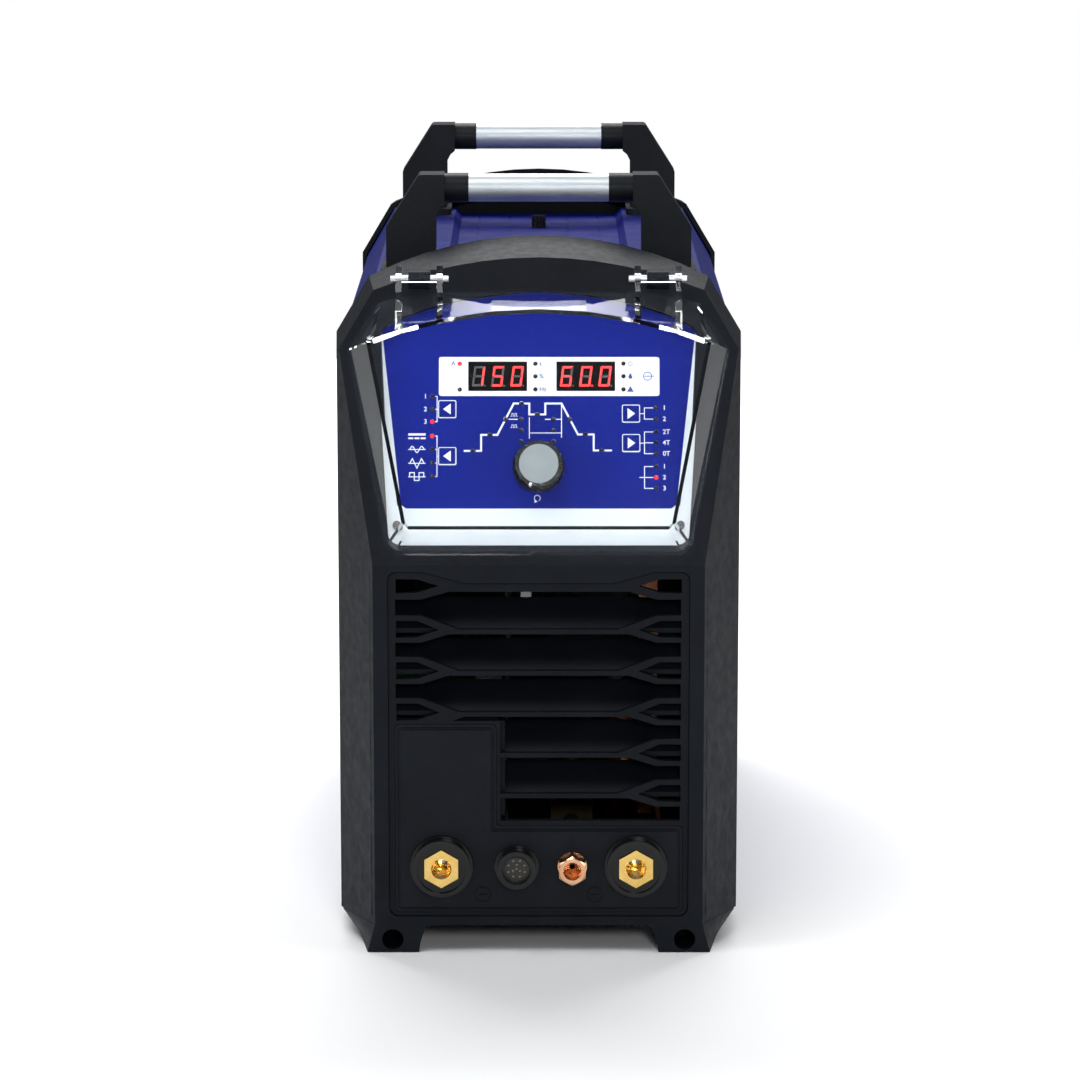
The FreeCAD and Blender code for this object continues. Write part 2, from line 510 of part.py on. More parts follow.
# torch control socket, 12 way
sh = cyl(-14.2, -3.2, CONN_Z, 14.2, 2.3).fuse(cyl(-14.2, -13.0, CONN_Z, 12.4, 24.0))
sh = sh.cut(cyl(-14.2, -14.0, CONN_Z, 9.4, 40.0))
sh = sh.fuse(hexa(-14.2, CONN_Z, 30.0, 7.7, 10.6))
sh = sh.cut(cyl(-14.2, -14.0, CONN_Z, 9.4, 40.0))
add("torch_socket_shell", sh.removeSplitter())
it = cyl(-14.2, -8.4, CONN_Z, 9.3, 20.0).cut(cyl(-14.2, -9.4, CONN_Z, 9.6, 2.4).cut(cyl(-14.2, -10, CONN_Z, 7.7, 5)))
pins = []
pos = [(0.0, 0.0)] + [(2.6 * math.cos(math.radians(120 * k + 90)), 2.6 * math.sin(math.radians(120 * k + 90))) for k in range(3)] + [(5.6 * math.cos(math.radians(45 * k + 22.5)), 5.6 * math.sin(math.radians(45 * k + 22.5))) for k in range(8)]
for dx, dz in pos:
    it = it.cut(cyl(-14.2 + dx, -12, CONN_Z + dz, 0.82, 14.0))
    pins.append(cyl(-14.2 + dx, -7.6, CONN_Z + dz, 0.8, 9.6))
add("torch_socket_insert", it)
add("socket_pins", pins + keys)

# gas outlet: female hexagon nipple
go = hexa(21.6, CONN_Z, 17.0, -14.5, -2.0)
go = go.common(Part.makeCone(8.2, 12.2, 4.0, V(21.6, -14.5, CONN_Z), AY).fuse(cyl(21.6, -10.5, CONN_Z, 13, 12)))
go = go.fuse(cyl(21.6, -2.0, CONN_Z, 9.4, 1.1)).fuse(cyl(21.6, -0.9, CONN_Z, 6.9, 17.0)).fuse(cyl(21.6, 16.0, CONN_Z, 4.0, 14.0))
go = go.cut(cyl(21.6, -15.5, CONN_Z, 5.9, 9.0)).cut(Part.makeCone(5.9, 1.7, 4.0, V(21.6, -6.5, CONN_Z), AY)).cut(cyl(21.6, -8.0, CONN_Z, 1.7, 45.0))
add("gas_outlet", go.removeSplitter())
NUTS = []
NUTS.append(hexa(21.6, CONN_Z, 19.0, 7.7, 12.6).cut(cyl(21.6, 5, CONN_Z, 6.95, 12)))

# ---------------------------------------------------------------- control panel
PNL = rounded(inset(RECESS, 0.4), RECESS_R)
D0, D1 = PANEL_DEPTH - 2.6, PANEL_DEPTH          # film and its steel backing plate (depths)
film = prism(PNL, PANEL_DEPTH - 0.6, PANEL_DEPTH)
BUT = {"process_button": (-58.5, 101.0), "waveform_button": (-58.5, 70.9), "gas_test_button": (59.0, 98.2), "trigger_mode_button": (59.0, 79.3)}
DISP = ((-26.15, 122.1), (30.25, 122.1))
LEDS = []
for x, w in ((-68.0, 109.1), (-68.0, 100.8), (-68.0, 92.8), (-68.0, 83.6), (-68.0, 74.9), (-68.0, 66.2), (-68.0, 57.5),
             (-50.5, 130.3), (-50.5, 113.6), (-2.1, 130.3), (-2.1, 122.1), (-2.1, 113.7), (54.2, 130.4), (54.2, 122.2), (54.2, 113.7),
             (75.0, 101.7), (75.0, 94.5), (75.0, 86.2), (75.0, 79.2), (75.0, 72.2), (75.0, 63.9), (75.0, 56.9), (75.0, 49.9),
             (-41.9, 74.0), (-31.1, 84.3), (-21.3, 94.2), (-11.0, 104.3), (-0.9, 97.4), (19.6, 94.3), (29.7, 84.6), (40.2, 74.3),
             (-11.3, 94.3), (-11.3, 87.1), (-11.3, 79.9), (9.4, 94.3), (9.4, 87.1), (9.4, 79.9)):
    LEDS.append((x, w))
for x, w in DISP:
    film = film.cut(box(x - 18.9, x + 18.9, 0, 20, w - 9.6, w + 9.6))
for x, w in LEDS:
    film = film.cut(cyl(x, 0, w, 1.45, 20))
for x, w in BUT.values():
    film = film.cut(prism(rounded([(x - 5.25, w - 5.25), (x + 5.25, w - 5.25), (x + 5.25, w + 5.25), (x - 5.25, w + 5.25)], 0.8), 0, 20))
film = film.cut(cyl(0, 0, KNOB_W, 4.6, 20))
SCR = [(-88.2, 152.4), (88.2, 152.4), (-88.3, 26.4), (88.3, 26.4)]
for x, w in SCR:
    film = film.cut(cyl(x, 0, w, 1.9, 20))
add("panel_film", tilt(film))

back = prism(rounded(inset(RECESS, -5.0), RECESS_R), PANEL_DEPTH + 0.02, PANEL_DEPTH + 2.0)
for x, w in DISP:
    back = back.cut(box(x - 18.9, x + 18.9, 0, 20, w - 9.6, w + 9.6))
for x, w in LEDS:
    back = back.cut(cyl(x, 0, w, 1.45, 20))
for x, w in BUT.values():
    back = back.cut(box(x - 5.4, x + 5.4, 0, 20, w - 5.4, w + 5.4))
back = back.cut(cyl(0, 0, KNOB_W, 5.0, 20))
for x, w in SCR:
    back = back.cut(cyl(x, 0, w, 1.7, 20))
add("panel_plate", tilt(back))

add("digit_displays", [tilt(box(x - 18.8, x + 18.8, PANEL_DEPTH - 0.3, PANEL_DEPTH + 7.4, w - 9.5, w + 9.5)) for x, w in DISP])
add("indicator_leds", [tilt(cyl(x, PANEL_DEPTH - 0.5, w, 1.4, 7.9)) for x, w in LEDS])
sg = []
for x, w in SCR:
    s = cyl(x, PANEL_DEPTH - 3.0, w, 2.9, 2.4).fuse(cyl(x, PANEL_DEPTH - 0.8, w, 1.65, 11))
    s = s.cut(box(x - 2.2, x + 2.2, PANEL_DEPTH - 4, PANEL_DEPTH - 1.9, w - 0.45, w + 0.45)).cut(box(x - 0.45, x + 0.45, PANEL_DEPTH - 4, PANEL_DEPTH - 1.9, w - 2.2, w + 2.2))
    sg.append(tilt(s))
SCREWS.extend(sg)
for name, (x, w) in BUT.items():
    b = prism(rounded([(x - 4.95, w - 4.95), (x + 4.95, w - 4.95), (x + 4.95, w + 4.95), (x - 4.95, w + 4.95)], 0.8), PANEL_DEPTH - 1.3, PANEL_DEPTH + 1.9)
    b = b.fuse(cyl(x, PANEL_DEPTH + 1.5, w, 1.7, 3.0))
    add(name, tilt(b))

pcb = box(-86, 86, 15.2, 16.8, 40, 150)
pcb = pcb.cut(cyl(0, 10, KNOB_W, 8.4, 12))
tact = [tilt(pcb)]
for x, w in BUT.values():
    tact.append(tilt(box(x - 3, x + 3, 12.7, 15.2, w - 3, w + 3)))
tact += [tilt(box(-70, -50, 16.8, 19.0, 120, 140)), tilt(box(30, 58, 16.8, 19.4, 60, 74)), tilt(box(-40, -12, 16.8, 19.6, 126, 138)), tilt(box(56, 76, 16.8, 24.0, 128, 140))]
add("control_board", tact)

# encoder: body in the plate, plunger that the shaft pushes, shaft, knob and its cap
eb = cyl(0, 9.7, KNOB_W, 8.0, 9.0).cut(cyl(0, 10.9, KNOB_W, 6.5, 6.6)).cut(cyl(0, 8, KNOB_W, 3.06, 5.0))
eb = eb.fuse(cyl(0, 5.2, KNOB_W, 4.4, 4.6).cut(cyl(0, 4, KNOB_W, 3.06, 10)))
add("encoder_body", tilt(eb))
add("encoder_plunger", tilt(cyl(0, 13.6, KNOB_W, 6.2, 2.2)))
add("encoder_shaft", tilt(cyl(0, -5.0, KNOB_W, 3.0, 18.3)))
kb = cyl(0, -8.6, KNOB_W, 15.0, 11.4).fuse(Part.makeCone(16.4, 15.4, 1.6, V(0, 3.0, KNOB_W), V(0, -1, 0))).fuse(cyl(0, 3.0, KNOB_W, 16.6, 2.2))
for k in range(36):
    a = 2 * math.pi * k / 36
    fl_ = box(14.72, 15.9, -7.6, 1.0, -0.5, 0.5)
    fl_.rotate(V(14.9, 0, 0), AY, 45)
    fl_.rotate(V(0, 0, 0), AY, math.degrees(a))
    fl_.translate(V(0, 0, KNOB_W))
    kb = kb.cut(fl_)
kb = kb.cut(cyl(0, -9.6, KNOB_W, 12.7, 2.4))
kb = kb.cut(cyl(0, -5.0, KNOB_W, 3.0, 30))
kb = kb.cut(cyl(0, 3.4, KNOB_W, 14.0, 4))
mk = box(-0.9, 0.9, -8.9, 0.6, 12.9, 15.6)
mk.rotate(V(0, 0, 0), AY, -(248 - 90))
mk.translate(V(0, 0, KNOB_W))
kb = kb.cut(mk)
add("encoder_knob", tilt(kb.removeSplitter()))
cap = cyl(0, -9.4, KNOB_W, 12.5, 2.2)
add("knob_cap", tilt(cap))

# ---------------------------------------------------------------- clear hinged cover
def farc(x, lo=0.0):
    R = (109.3 ** 2 + 20.5 ** 2) / (2 * 20.5)
    return 160.7 - (R - math.sqrt(R * R - x * x)) - lo


US = [103.3, 88.0, 61.0, 30.0, 0.0, -30.0, -61.0, -88.0, -103.3]
RT = {103.3: 168.2, 88.0: 172.4, 61.0: 175.6, 30.0: 176.0, 0.0: 176.2}
OF = 22.9


def cov(d, o_lo, o_hi):
    rim = [(-91.5, 6.2 + d), (91.5, 6.2 + d), (97.6 - d, 12.5), (122.3 - d * 1.05, 138.2)] + [((u - d * (0.8 if u > 100 else -0.8 if u < -100 else 0)), RT[abs(u)] - d) for u in US] + [(-122.3 + d * 1.05, 138.2), (-97.6 + d, 12.5)]
    FU = [107.0, 88.0, 61.0, 30.0, 0.0, -30.0, -61.0, -88.0, -107.0]
    face = [(-82.0, 20.0 + d), (82.0, 20.0 + d), (86.6 - d, 24.5), (109.3 - d * 1.05, 139.6)] + [(u - d * (1.0 if u > 100 else -1.0 if u < -100 else 0), farc(u) - d) for u in FU] + [(-109.3 + d * 1.05, 139.6), (-86.6 + d, 24.5)]
    return loft([[(x, -o_lo, w) for x, w in rim], [(x, -o_hi, w) for x, w in face]])


cv = cov(0.0, 0.4, OF).cut(cov(2.4, 0.39, OF - 2.2)).cut(box(-200, 200, -0.39, 5, -5, 250))
# outer rim flange, let in at the lugs
cv_arm = []
for sx in (-1, 1):
    for u0, u1 in ((61.0, 65.0), (87.0, 91.0)):
        dw = 0.0 if u0 < 70 else -1.5
        pr = [(3.0, 170.5 + dw), (14.0, 161.5 + dw), (OF - 0.4, 153.0 if u0 < 70 else 147.6), (19.6, 172.0), (17.2, 183.5), (13.6, 190.2), (5.2, 190.2), (2.6, 186.0), (2.6, 174.0)]
        wv = Part.makePolygon([V(sx * u0, -o, w) for o, w in pr] + [V(sx * u0, -pr[0][0], pr[0][1])])
        arm = Part.Face(wv).extrude(V(sx * (u1 - u0), 0, 0))
        cv_arm.append(arm)
    br = prism_x([(-(HINGE_O + 9.6), HINGE_W - 3.5), (-(HINGE_O + 7.2), HINGE_W - 3.5), (-(HINGE_O + 7.2), HINGE_W + 4.5), (-(HINGE_O + 8.6), HINGE_W + 4.5)], min(sx * 65, sx * 87), max(sx * 65, sx * 87))
    cv_arm.append(br)
for a_ in cv_arm:
    cv = cv.fuse(a_)
for sx in (-1, 1):
    cv = cv.cut(Part.makeCylinder(2.06, 40, V(sx * 76 - 20, -HINGE_O, HINGE_W), AX))
# finger recess at the bottom edge
cv = cv.cut(Part.makeCylinder(9.0, 6.0, V(0, -6.0, -0.6), AY))
add("clear_cover", tilt(cv.removeSplitter()))
add("hinge_pins", [tilt(Part.makeCylinder(2.0, 37.0, V(sx * 76 - 18.5, -HINGE_O, HINGE_W), AX)) for sx in (-1, 1)])

# ---------------------------------------------------------------- power electronics
BRACKETS = []
BRACKETS.append(fuse(box(-22.0, -20.5, 110, 520, 23.4, 396), box(-22.0, -6.0, 110, 520, 23.4, 24.9)))


def heatsink(x0, x1, y0, y1, z0, z1, n):
    h = box(x0, x0 + 7, y0, y1, z0, z1)
    p = (z1 - z0) / n
    for k in range(n):
        h = h.fuse(box(x0 + 6, x1, y0, y1, z0 + p * k, z0 + p * k + 1.6))
    return h.removeSplitter()


add("heatsinks", [heatsink(-12, 60, 330, 500, 200, 320, 14), heatsink(-12, 60, 150, 300, 200, 320, 14)])
mods = []
for y in (345, 405, 455):
    mods.append(box(-20.4, -12.05, y, y + 36, 222, 298))
add("power_modules", mods + [box(-20.4, -12.05, y, y + 30, 222, 298) for y in (160, 205, 250)])
BOARDS = [box(-118, -24, 300, 500, 300, 301.6)]
add("bulk_capacitors", [cyl(-98 + 40 * (k % 2), 330 + 40 * (k // 2), 246.0, 17.4, 53.9, AZ) for k in range(6)])
tcore = box(8, 92, 345, 440, 23.3, 118).cut(box(22, 42, 340, 445, 38, 104)).cut(box(58, 78, 340, 445, 38, 104))
add("transformer_core", tcore)
tw = box(22.2, 41.8, 330, 455, 38.2, 103.8).fuse(box(58.2, 77.8, 330, 455, 38.2, 103.8)).fuse(box(22.2, 77.8, 330, 344.8, 38.2, 103.8)).fuse(box(22.2, 77.8, 440.2, 455, 38.2, 103.8))
add("transformer_winding", tw.removeSplitter())
ck = Part.makeTorus(34, 14, V(50, 220, 23.4 + 52), AX)
add("output_choke", ck)
BRACKETS.append(fuse(box(20, 80, 190, 250, 23.3, 25.3), box(34, 66, 214, 226, 25.3, 27.0)))
hf = Part.makeTorus(26, 11, V(-62, 132, 23.4 + 38), AX)
add("arc_start_coil", hf)
BOARDS.append(fuse(box(-117, -26, 170, 280, 120, 121.6), box(-100, -80, 190, 214, 121.6, 146), box(-62, -44, 220, 250, 121.6, 140)))
BOARDS.append(fuse(box(-117, -26, 420, 520, 349.3, 350.9), box(-52, -30, 436, 470, 350.9, 372)))
BOARDS.append(Part.makeTorus(16, 7, V(-84, 470, 358.0), AZ))
add("circuit_boards", BOARDS)

# gas train: solenoid valve between the rear inlet and the front outlet
gv = box(8, 36, 112, 142, 46, 70).fuse(cyl(22, 127, 70, 11.0, 30, AZ)).fuse(cyl(21.6, 100, CONN_Z, 4.0, 12, AY)).fuse(cyl(22, 142, CONN_Z, 4.0, 10, AY))
add("gas_valve", gv.removeSplitter())
BRACKETS.append(box(2, 42, 106, 150, 23.3, 45.9).cut(box(4, 40, 100, 160, 20, 43.9)))


add("inner_brackets", BRACKETS)


def hose(pts, r):
    """Straight runs joined by tangent arcs, 0.45 of the shorter run at each point."""
    P = [V(*p) for p in pts]
    edges, cur = [], P[0]
    for i in range(1, len(P) - 1):
        a, b, c = P[i - 1], P[i], P[i + 1]
        u, v = (a - b), (c - b)
        la, lc = u.Length, v.Length
        u.normalize(), v.normalize()
        ang = u.getAngle(v)
        t = 0.45 * min(la, lc)
        p0, p1 = b + u * t, b + v * t
        rad = t * math.tan(ang / 2)
        bis = u + v
        bis.normalize()
        mid = b + bis * (rad / math.sin(ang / 2) - rad)
        edges.append(Part.LineSegment(cur, p0).toShape())
        edges.append(Part.Arc(p0, mid, p1).toShape())
        print("hose bend radius %.1f" % rad)
        cur = p1
    edges.append(Part.LineSegment(cur, P[-1]).toShape())
    wire = Part.Wire(edges)
    d = (P[1] - P[0])
    d.normalize()
    prof = Part.Wire(Part.makeCircle(r, P[0], d))
    sol = wire.makePipeShell([prof], True, False)
    print("hose volume ratio %.4f" % (sol.Volume / (math.pi * r * r * wire.Length)))
    return sol


route_f = [(21.6, 20.0, CONN_Z), (21.6, 48.0, CONN_Z + 3.0), (21.6, 80.0, CONN_Z + 3.0), (21.6, 111.9, CONN_Z)]
route_r = [(22.0, 142.2, CONN_Z), (22.0, 168.0, CONN_Z + 10), (23.0, 184.0, 96.0), (44.0, 200.0, 134.0), (82.0, 226.0, 156.0), (105.0, 274.0, 150.0), (107.0, 336.0, 142.0), (106.0, 400.0, 140.0), (105.0, 462.0, 128.0), (97.0, 510.0, 102.0), (78.0, 545.0, 78.0), (68.0, 577.0, 70.0)]
add("gas_hoses", [hose(route_f, 5.6).cut(hose(route_f, 4.02)), hose(route_r, 5.6).cut(hose(route_r, 4.02))])

# copper bars from the output stage to the current sockets
BARS = []
BARS.append(fuse(box(51.5, 80.5, 28.0, 31.0, CONN_Z - 11, CONN_Z + 11).cut(cyl(DINSE_X, 20, CONN_Z, 8.05, 30)), box(77.5, 80.5, 31.0, 180.0, CONN_Z - 11, CONN_Z + 11), box(68.0, 80.5, 177.0, 180.0, CONN_Z + 11, 215.0), box(68.0, 80.5, 177.0, 180.0, CONN_Z - 11, CONN_Z + 12)))
BARS.append(fuse(box(-80.5, -51.5, 28.0, 31.0, CONN_Z - 11, CONN_Z + 11).cut(cyl(-DINSE_X, 20, CONN_Z, 8.05, 30)), box(-80.5, -77.5, 31.0, 90.0, CONN_Z - 11, CONN_Z + 11), box(-80.5, -55.0, 87.0, 90.0, CONN_Z - 11, CONN_Z + 11)))
NUTS.extend([hexa(sx * DINSE_X, CONN_Z, 24.0, 31.1, 39.0).cut(cyl(sx * DINSE_X, 25, CONN_Z, 8.02, 20)) for sx in (-1, 1)])

add("copper_busbars", BARS)

# ---------------------------------------------------------------- rear fittings
sb = cyl(-58, 560.0, 352, 17.5, 32.6).fuse(cyl(-58, 592.0, 352, 15.0, 6.6)).fuse(cyl(-58, 598.2, 352, 20.0, 3.4))
sb = sb.cut(cyl(-58, 575, 352, 4.06, 40))
add("power_switch_body", sb.removeSplitter())
sk = cyl(-58, 602.2, 352, 15.5, 5.0).fuse(cyl(-58, 580.0, 352, 4.0, 24.0))
sk = sk.fuse(prism(rounded([(-62.5, 334.5), (-53.5, 334.5), (-53.5, 369.5), (-62.5, 369.5)], 4), 606.5, 617.0))
add("power_switch_knob", sk.removeSplitter())

cg = hexa(-50, 70, 27.0, 598.0, 604.0).fuse(cyl(-50, 578.0, 70, 12.9, 20.5)).fuse(cyl(-50, 603.5, 70, 13.2, 12.0))
cg = cg.fuse(Part.makeCone(13.2, 9.6, 7.0, V(-50, 615.5, 70), AY)).cut(cyl(-50, 570, 70, 7.6, 60))
add("cable_gland", cg.removeSplitter())
add("cable_gland_seal", cyl(-50, 599.0, 70, 7.6, 22.0).cut(cyl(-50, 595, 70, 5.4, 40)))
NUTS.append(hexa(-50, 70, 29.0, 586.4, 592.6).cut(cyl(-50, 580, 70, 12.95, 20)))

ws = cyl(30, 597.8, 70, 16.6, 3.0).fuse(cyl(30, 580.0, 70, 14.0, 34.0)).cut(cyl(30, 590.0, 70, 11.0, 40.0))
wi = cyl(30, 590.0, 70, 10.98, 14.0)
for k in range(5):
    wi = wi.cut(cyl(30 + 6.2 * math.cos(math.radians(72 * k + 90)), 594, 70 + 6.2 * math.sin(math.radians(72 * k + 90)), 1.2, 20))
add("cooler_socket", ws.removeSplitter())
parts.pop("torch_socket_insert")
add("socket_inserts", [it, wi])

gi = hexa(68, 70, 19.0, 598.0, 606.0).fuse(cyl(68, 586.0, 70, 8.0, 13.0)).fuse(cyl(68, 576.0, 70, 4.0, 12.0)).fuse(cyl(68, 605.5, 70, 5.0, 17.85))
gi = gi.cut(cyl(68, 570, 70, 2.2, 70))
add("gas_inlet", gi.removeSplitter())
NUTS.append(hexa(68, 70, 19.0, 586.6, 592.6).cut(cyl(68, 580, 70, 8.05, 20)))
add("fitting_nuts", NUTS)
fh = cyl(62, 597.8, 352, 8.4, 3.0).fuse(cyl(62, 572, 352, 6.0, 30)).fuse(cyl(62, 600.5, 352, 6.8, 8.0))
add("fuse_holder", fh.removeSplitter())
rsn = []
for x, z in ((-84, 38), (84, 38), (-84, 366), (84, 366)):
    rsn.append(cyl(x, 597.65, z, 4.2, 2.2).fuse(cyl(x, 588, z, 1.9, 10)))
rpp = parts["rear_plate"]
for x, z in ((-84, 38), (84, 38), (-84, 366), (84, 366)):
    rpp = rpp.cut(cyl(x, 585, z, 1.95, 20))
parts["rear_plate"] = rpp
SCREWS.extend(rsn)
add("case_screws", SCREWS)

# ---------------------------------------------------------------- write the pieces
boxes = None
for name in sorted(parts):
    s = parts[name]
    s.translate(V(0, Y_SHIFT, 0))
    bb = s.BoundBox
    boxes = bb if boxes is None else boxes
    boxes.add(bb)
    ok = s.isValid()
    print("%-24s solids %2d valid %s vol %.0f  y %.2f..%.2f" % (name, len(s.Solids), ok, s.Volume, bb.YMin, bb.YMax))
    s.exportStep("parts/%s.step" % name)
print("nodes", len(parts), "box", round(boxes.XMin, 3), round(boxes.XMax, 3), round(boxes.YMin, 3), round(boxes.YMax, 3), round(boxes.ZMin, 3), round(boxes.ZMax, 3))
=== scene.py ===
import bpy, bmesh, math
from mathutils import Vector, Matrix


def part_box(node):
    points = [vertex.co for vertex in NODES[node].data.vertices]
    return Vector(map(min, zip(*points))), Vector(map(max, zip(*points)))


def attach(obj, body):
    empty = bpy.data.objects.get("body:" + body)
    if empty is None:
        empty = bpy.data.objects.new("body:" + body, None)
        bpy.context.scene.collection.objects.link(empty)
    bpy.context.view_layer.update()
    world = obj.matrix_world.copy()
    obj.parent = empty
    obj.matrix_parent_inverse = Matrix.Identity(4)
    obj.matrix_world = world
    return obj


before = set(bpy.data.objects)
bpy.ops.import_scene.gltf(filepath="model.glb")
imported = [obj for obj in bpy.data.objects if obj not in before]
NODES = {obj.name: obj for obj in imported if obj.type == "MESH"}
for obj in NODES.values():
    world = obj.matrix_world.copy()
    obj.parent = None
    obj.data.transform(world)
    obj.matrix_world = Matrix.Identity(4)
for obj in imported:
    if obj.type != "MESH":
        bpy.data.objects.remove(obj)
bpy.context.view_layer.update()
scene = bpy.context.scene

# ------------------------------------------------------------------ frame of the leaning panel
T = math.radians(17.5)
C, S = math.cos(T), math.sin(T)
SH = -303.762
PANEL = Matrix(((0.001, 0, 0, 0), (0, 0.001 * C, 0.001 * S, SH * 0.001), (0, -0.001 * S, 0.001 * C, 0.2548), (0, 0, 0, 1)))
FILM = 7.0          # depth of the film's surface below the leaning face, mm


def wp(x, d, w):
    return PANEL @ Vector((x, d, w))


# ------------------------------------------------------------------ materials
def new_mat(name):
    m = bpy.data.materials.new(name)
    m.use_nodes = True
    nt = m.node_tree
    for n in list(nt.nodes):
        nt.nodes.remove(n)
    return m, nt


def N(nt, kind, **kw):
    n = nt.nodes.new(kind)
    for k, v in kw.items():
        setattr(n, k, v)
    return n


def L(nt, a, ai, b, bi):
    nt.links.new(a.outputs[ai], b.inputs[bi])


def surface(name, c1, c2, rough=(0.4, 0.5), metal=0.0, vscale=40.0, tex="noise", bscale=900.0, bump=0.15, bdist=0.0002,
            coat=0.0, coat_rough=0.05, spec=0.5, stretch=(1, 1, 1), aniso=0.0, fine=None, emit=None, emit_s=0.0):
    """Principled surface: colour drift at vscale, a relief at bscale, roughness from a finer noise of its own."""
    m, nt = new_mat(name)
    out = N(nt, "ShaderNodeOutputMaterial")
    p = N(nt, "ShaderNodeBsdfPrincipled")
    tc = N(nt, "ShaderNodeTexCoord")
    mp = N(nt, "ShaderNodeMapping")
    mp.inputs["Scale"].default_value = stretch
    L(nt, tc, "Object", mp, "Vector")
    n1 = N(nt, "ShaderNodeTexNoise")
    n1.inputs["Scale"].default_value = vscale
    n1.inputs["Detail"].default_value = 4.0
    L(nt, mp, "Vector", n1, "Vector")
    cr = N(nt, "ShaderNodeValToRGB")
    cr.color_ramp.elements[0].position, cr.color_ramp.elements[1].position = 0.32, 0.68
    cr.color_ramp.elements[0].color = (*c1, 1)
    cr.color_ramp.elements[1].color = (*c2, 1)
    L(nt, n1, "Fac", cr, "Fac")
    L(nt, cr, "Color", p, "Base Color")
    mr = N(nt, "ShaderNodeMapRange")
    mr.inputs["From Min"].default_value, mr.inputs["From Max"].default_value = 0.3, 0.7
    mr.inputs["To Min"].default_value, mr.inputs["To Max"].default_value = rough
    n2 = N(nt, "ShaderNodeTexNoise")
    n2.inputs["Scale"].default_value = vscale * 6.3
    n2.inputs["Detail"].default_value = 3.0
    L(nt, mp, "Vector", n2, "Vector")
    L(nt, n2, "Fac", mr, "Value")
    L(nt, mr, "Result", p, "Roughness")
    if tex == "voronoi":
        t = N(nt, "ShaderNodeTexVoronoi")
        t.inputs["Scale"].default_value = bscale
        L(nt, mp, "Vector", t, "Vector")
        h = "Distance"
    else:
        t = N(nt, "ShaderNodeTexNoise")
        t.inputs["Scale"].default_value = bscale
        t.inputs["Detail"].default_value = 5.0
        L(nt, mp, "Vector", t, "Vector")
        h = "Fac"
    b = N(nt, "ShaderNodeBump")
    b.inputs["Strength"].default_value = bump
    b.inputs["Distance"].default_value = bdist
    L(nt, t, h, b, "Height")
    L(nt, b, "Normal", p, "Normal")
    p.inputs["Metallic"].default_value = metal
    p.inputs["Specular IOR Level"].default_value = spec
    p.inputs["Coat Weight"].default_value = coat
    p.inputs["Coat Roughness"].default_value = coat_rough
    if aniso:
        p.inputs["Anisotropic"].default_value = aniso
    if emit:
        p.inputs["Emission Color"].default_value = (*emit, 1)
        p.inputs["Emission Strength"].default_value = emit_s
    L(nt, p, "BSDF", out, "Surface")
    return m


def clear(name, tint=(0.93, 0.95, 0.96), rough=0.02):
    """Clear moulded polycarbonate, with faint flow marks; light passes it without a dark shadow."""
    m, nt = new_mat(name)
    out = N(nt, "ShaderNodeOutputMaterial")
    p = N(nt, "ShaderNodeBsdfPrincipled")
    p.inputs["Base Color"].default_value = (*tint, 1)
    p.inputs["Transmission Weight"].default_value = 1.0
    p.inputs["IOR"].default_value = 1.33
    tc = N(nt, "ShaderNodeTexCoord")
    n1 = N(nt, "ShaderNodeTexNoise")
    n1.inputs["Scale"].default_value = 22.0
    n1.inputs["Detail"].default_value = 2.0
    L(nt, tc, "Object", n1, "Vector")
    mr = N(nt, "ShaderNodeMapRange")
    mr.inputs["To Min"].default_value, mr.inputs["To Max"].default_value = rough, rough + 0.03
    L(nt, n1, "Fac", mr, "Value")
    L(nt, mr, "Result", p, "Roughness")
    b = N(nt, "ShaderNodeBump")
    b.inputs["Strength"].default_value = 0.02
    b.inputs["Distance"].default_value = 0.0004
    L(nt, n1, "Fac", b, "Height")
    L(nt, b, "Normal", p, "Normal")
    tr = N(nt, "ShaderNodeBsdfTransparent")
    tr.inputs["Color"].default_value = (0.94, 0.95, 0.96, 1)
    lp = N(nt, "ShaderNodeLightPath")
    mx = N(nt, "ShaderNodeMixShader")
    L(nt, lp, "Is Shadow Ray", mx, 0)
    nt.links.new(p.outputs["BSDF"], mx.inputs[1])
    nt.links.new(tr.outputs["BSDF"], mx.inputs[2])
    L(nt, mx, "Shader", out, "Surface")
    return m


BLACK = surface("bezel_plastic", (0.0045, 0.0060, 0.0090), (0.0068, 0.0086, 0.0125), (0.44, 0.56), vscale=26, tex="voronoi", bscale=1500, bump=0.30, bdist=0.00016, spec=0.10)
GRILLE = surface("grille_plastic", (0.0038, 0.0050, 0.0075), (0.0056, 0.0072, 0.0105), (0.42, 0.52), vscale=26, tex="voronoi", bscale=1700, bump=0.24, bdist=0.00014, spec=0.10)
PLATE = surface("connector_plate_plastic", (0.0048, 0.0062, 0.0095), (0.0068, 0.0086, 0.0130), (0.46, 0.56), vscale=30, tex="voronoi", bscale=1900, bump=0.24, bdist=0.00013, spec=0.12)
HANDLE = surface("handle_plastic", (0.0045, 0.0058, 0.0080), (0.0070, 0.0086, 0.0115), (0.40, 0.50), vscale=30, tex="voronoi", bscale=1500, bump=0.25, bdist=0.00016, spec=0.14)
BLUE = surface("cover_blue_paint", (0.0030, 0.0065, 0.120), (0.0040, 0.0085, 0.150), (0.34, 0.42), vscale=18, bscale=420, bump=0.02, bdist=0.0001, coat=0.10, coat_rough=0.10, spec=0.15)
PAINT_K = surface("black_powder_coat", (0.012, 0.012, 0.013), (0.018, 0.018, 0.019), (0.42, 0.55), vscale=40, bscale=1300, bump=0.2, bdist=0.00015)
GUARD = surface("guard_wire", (0.012, 0.012, 0.013), (0.02, 0.02, 0.021), (0.28, 0.38), vscale=60, bscale=900, bump=0.08, bdist=0.0001, coat=0.3)
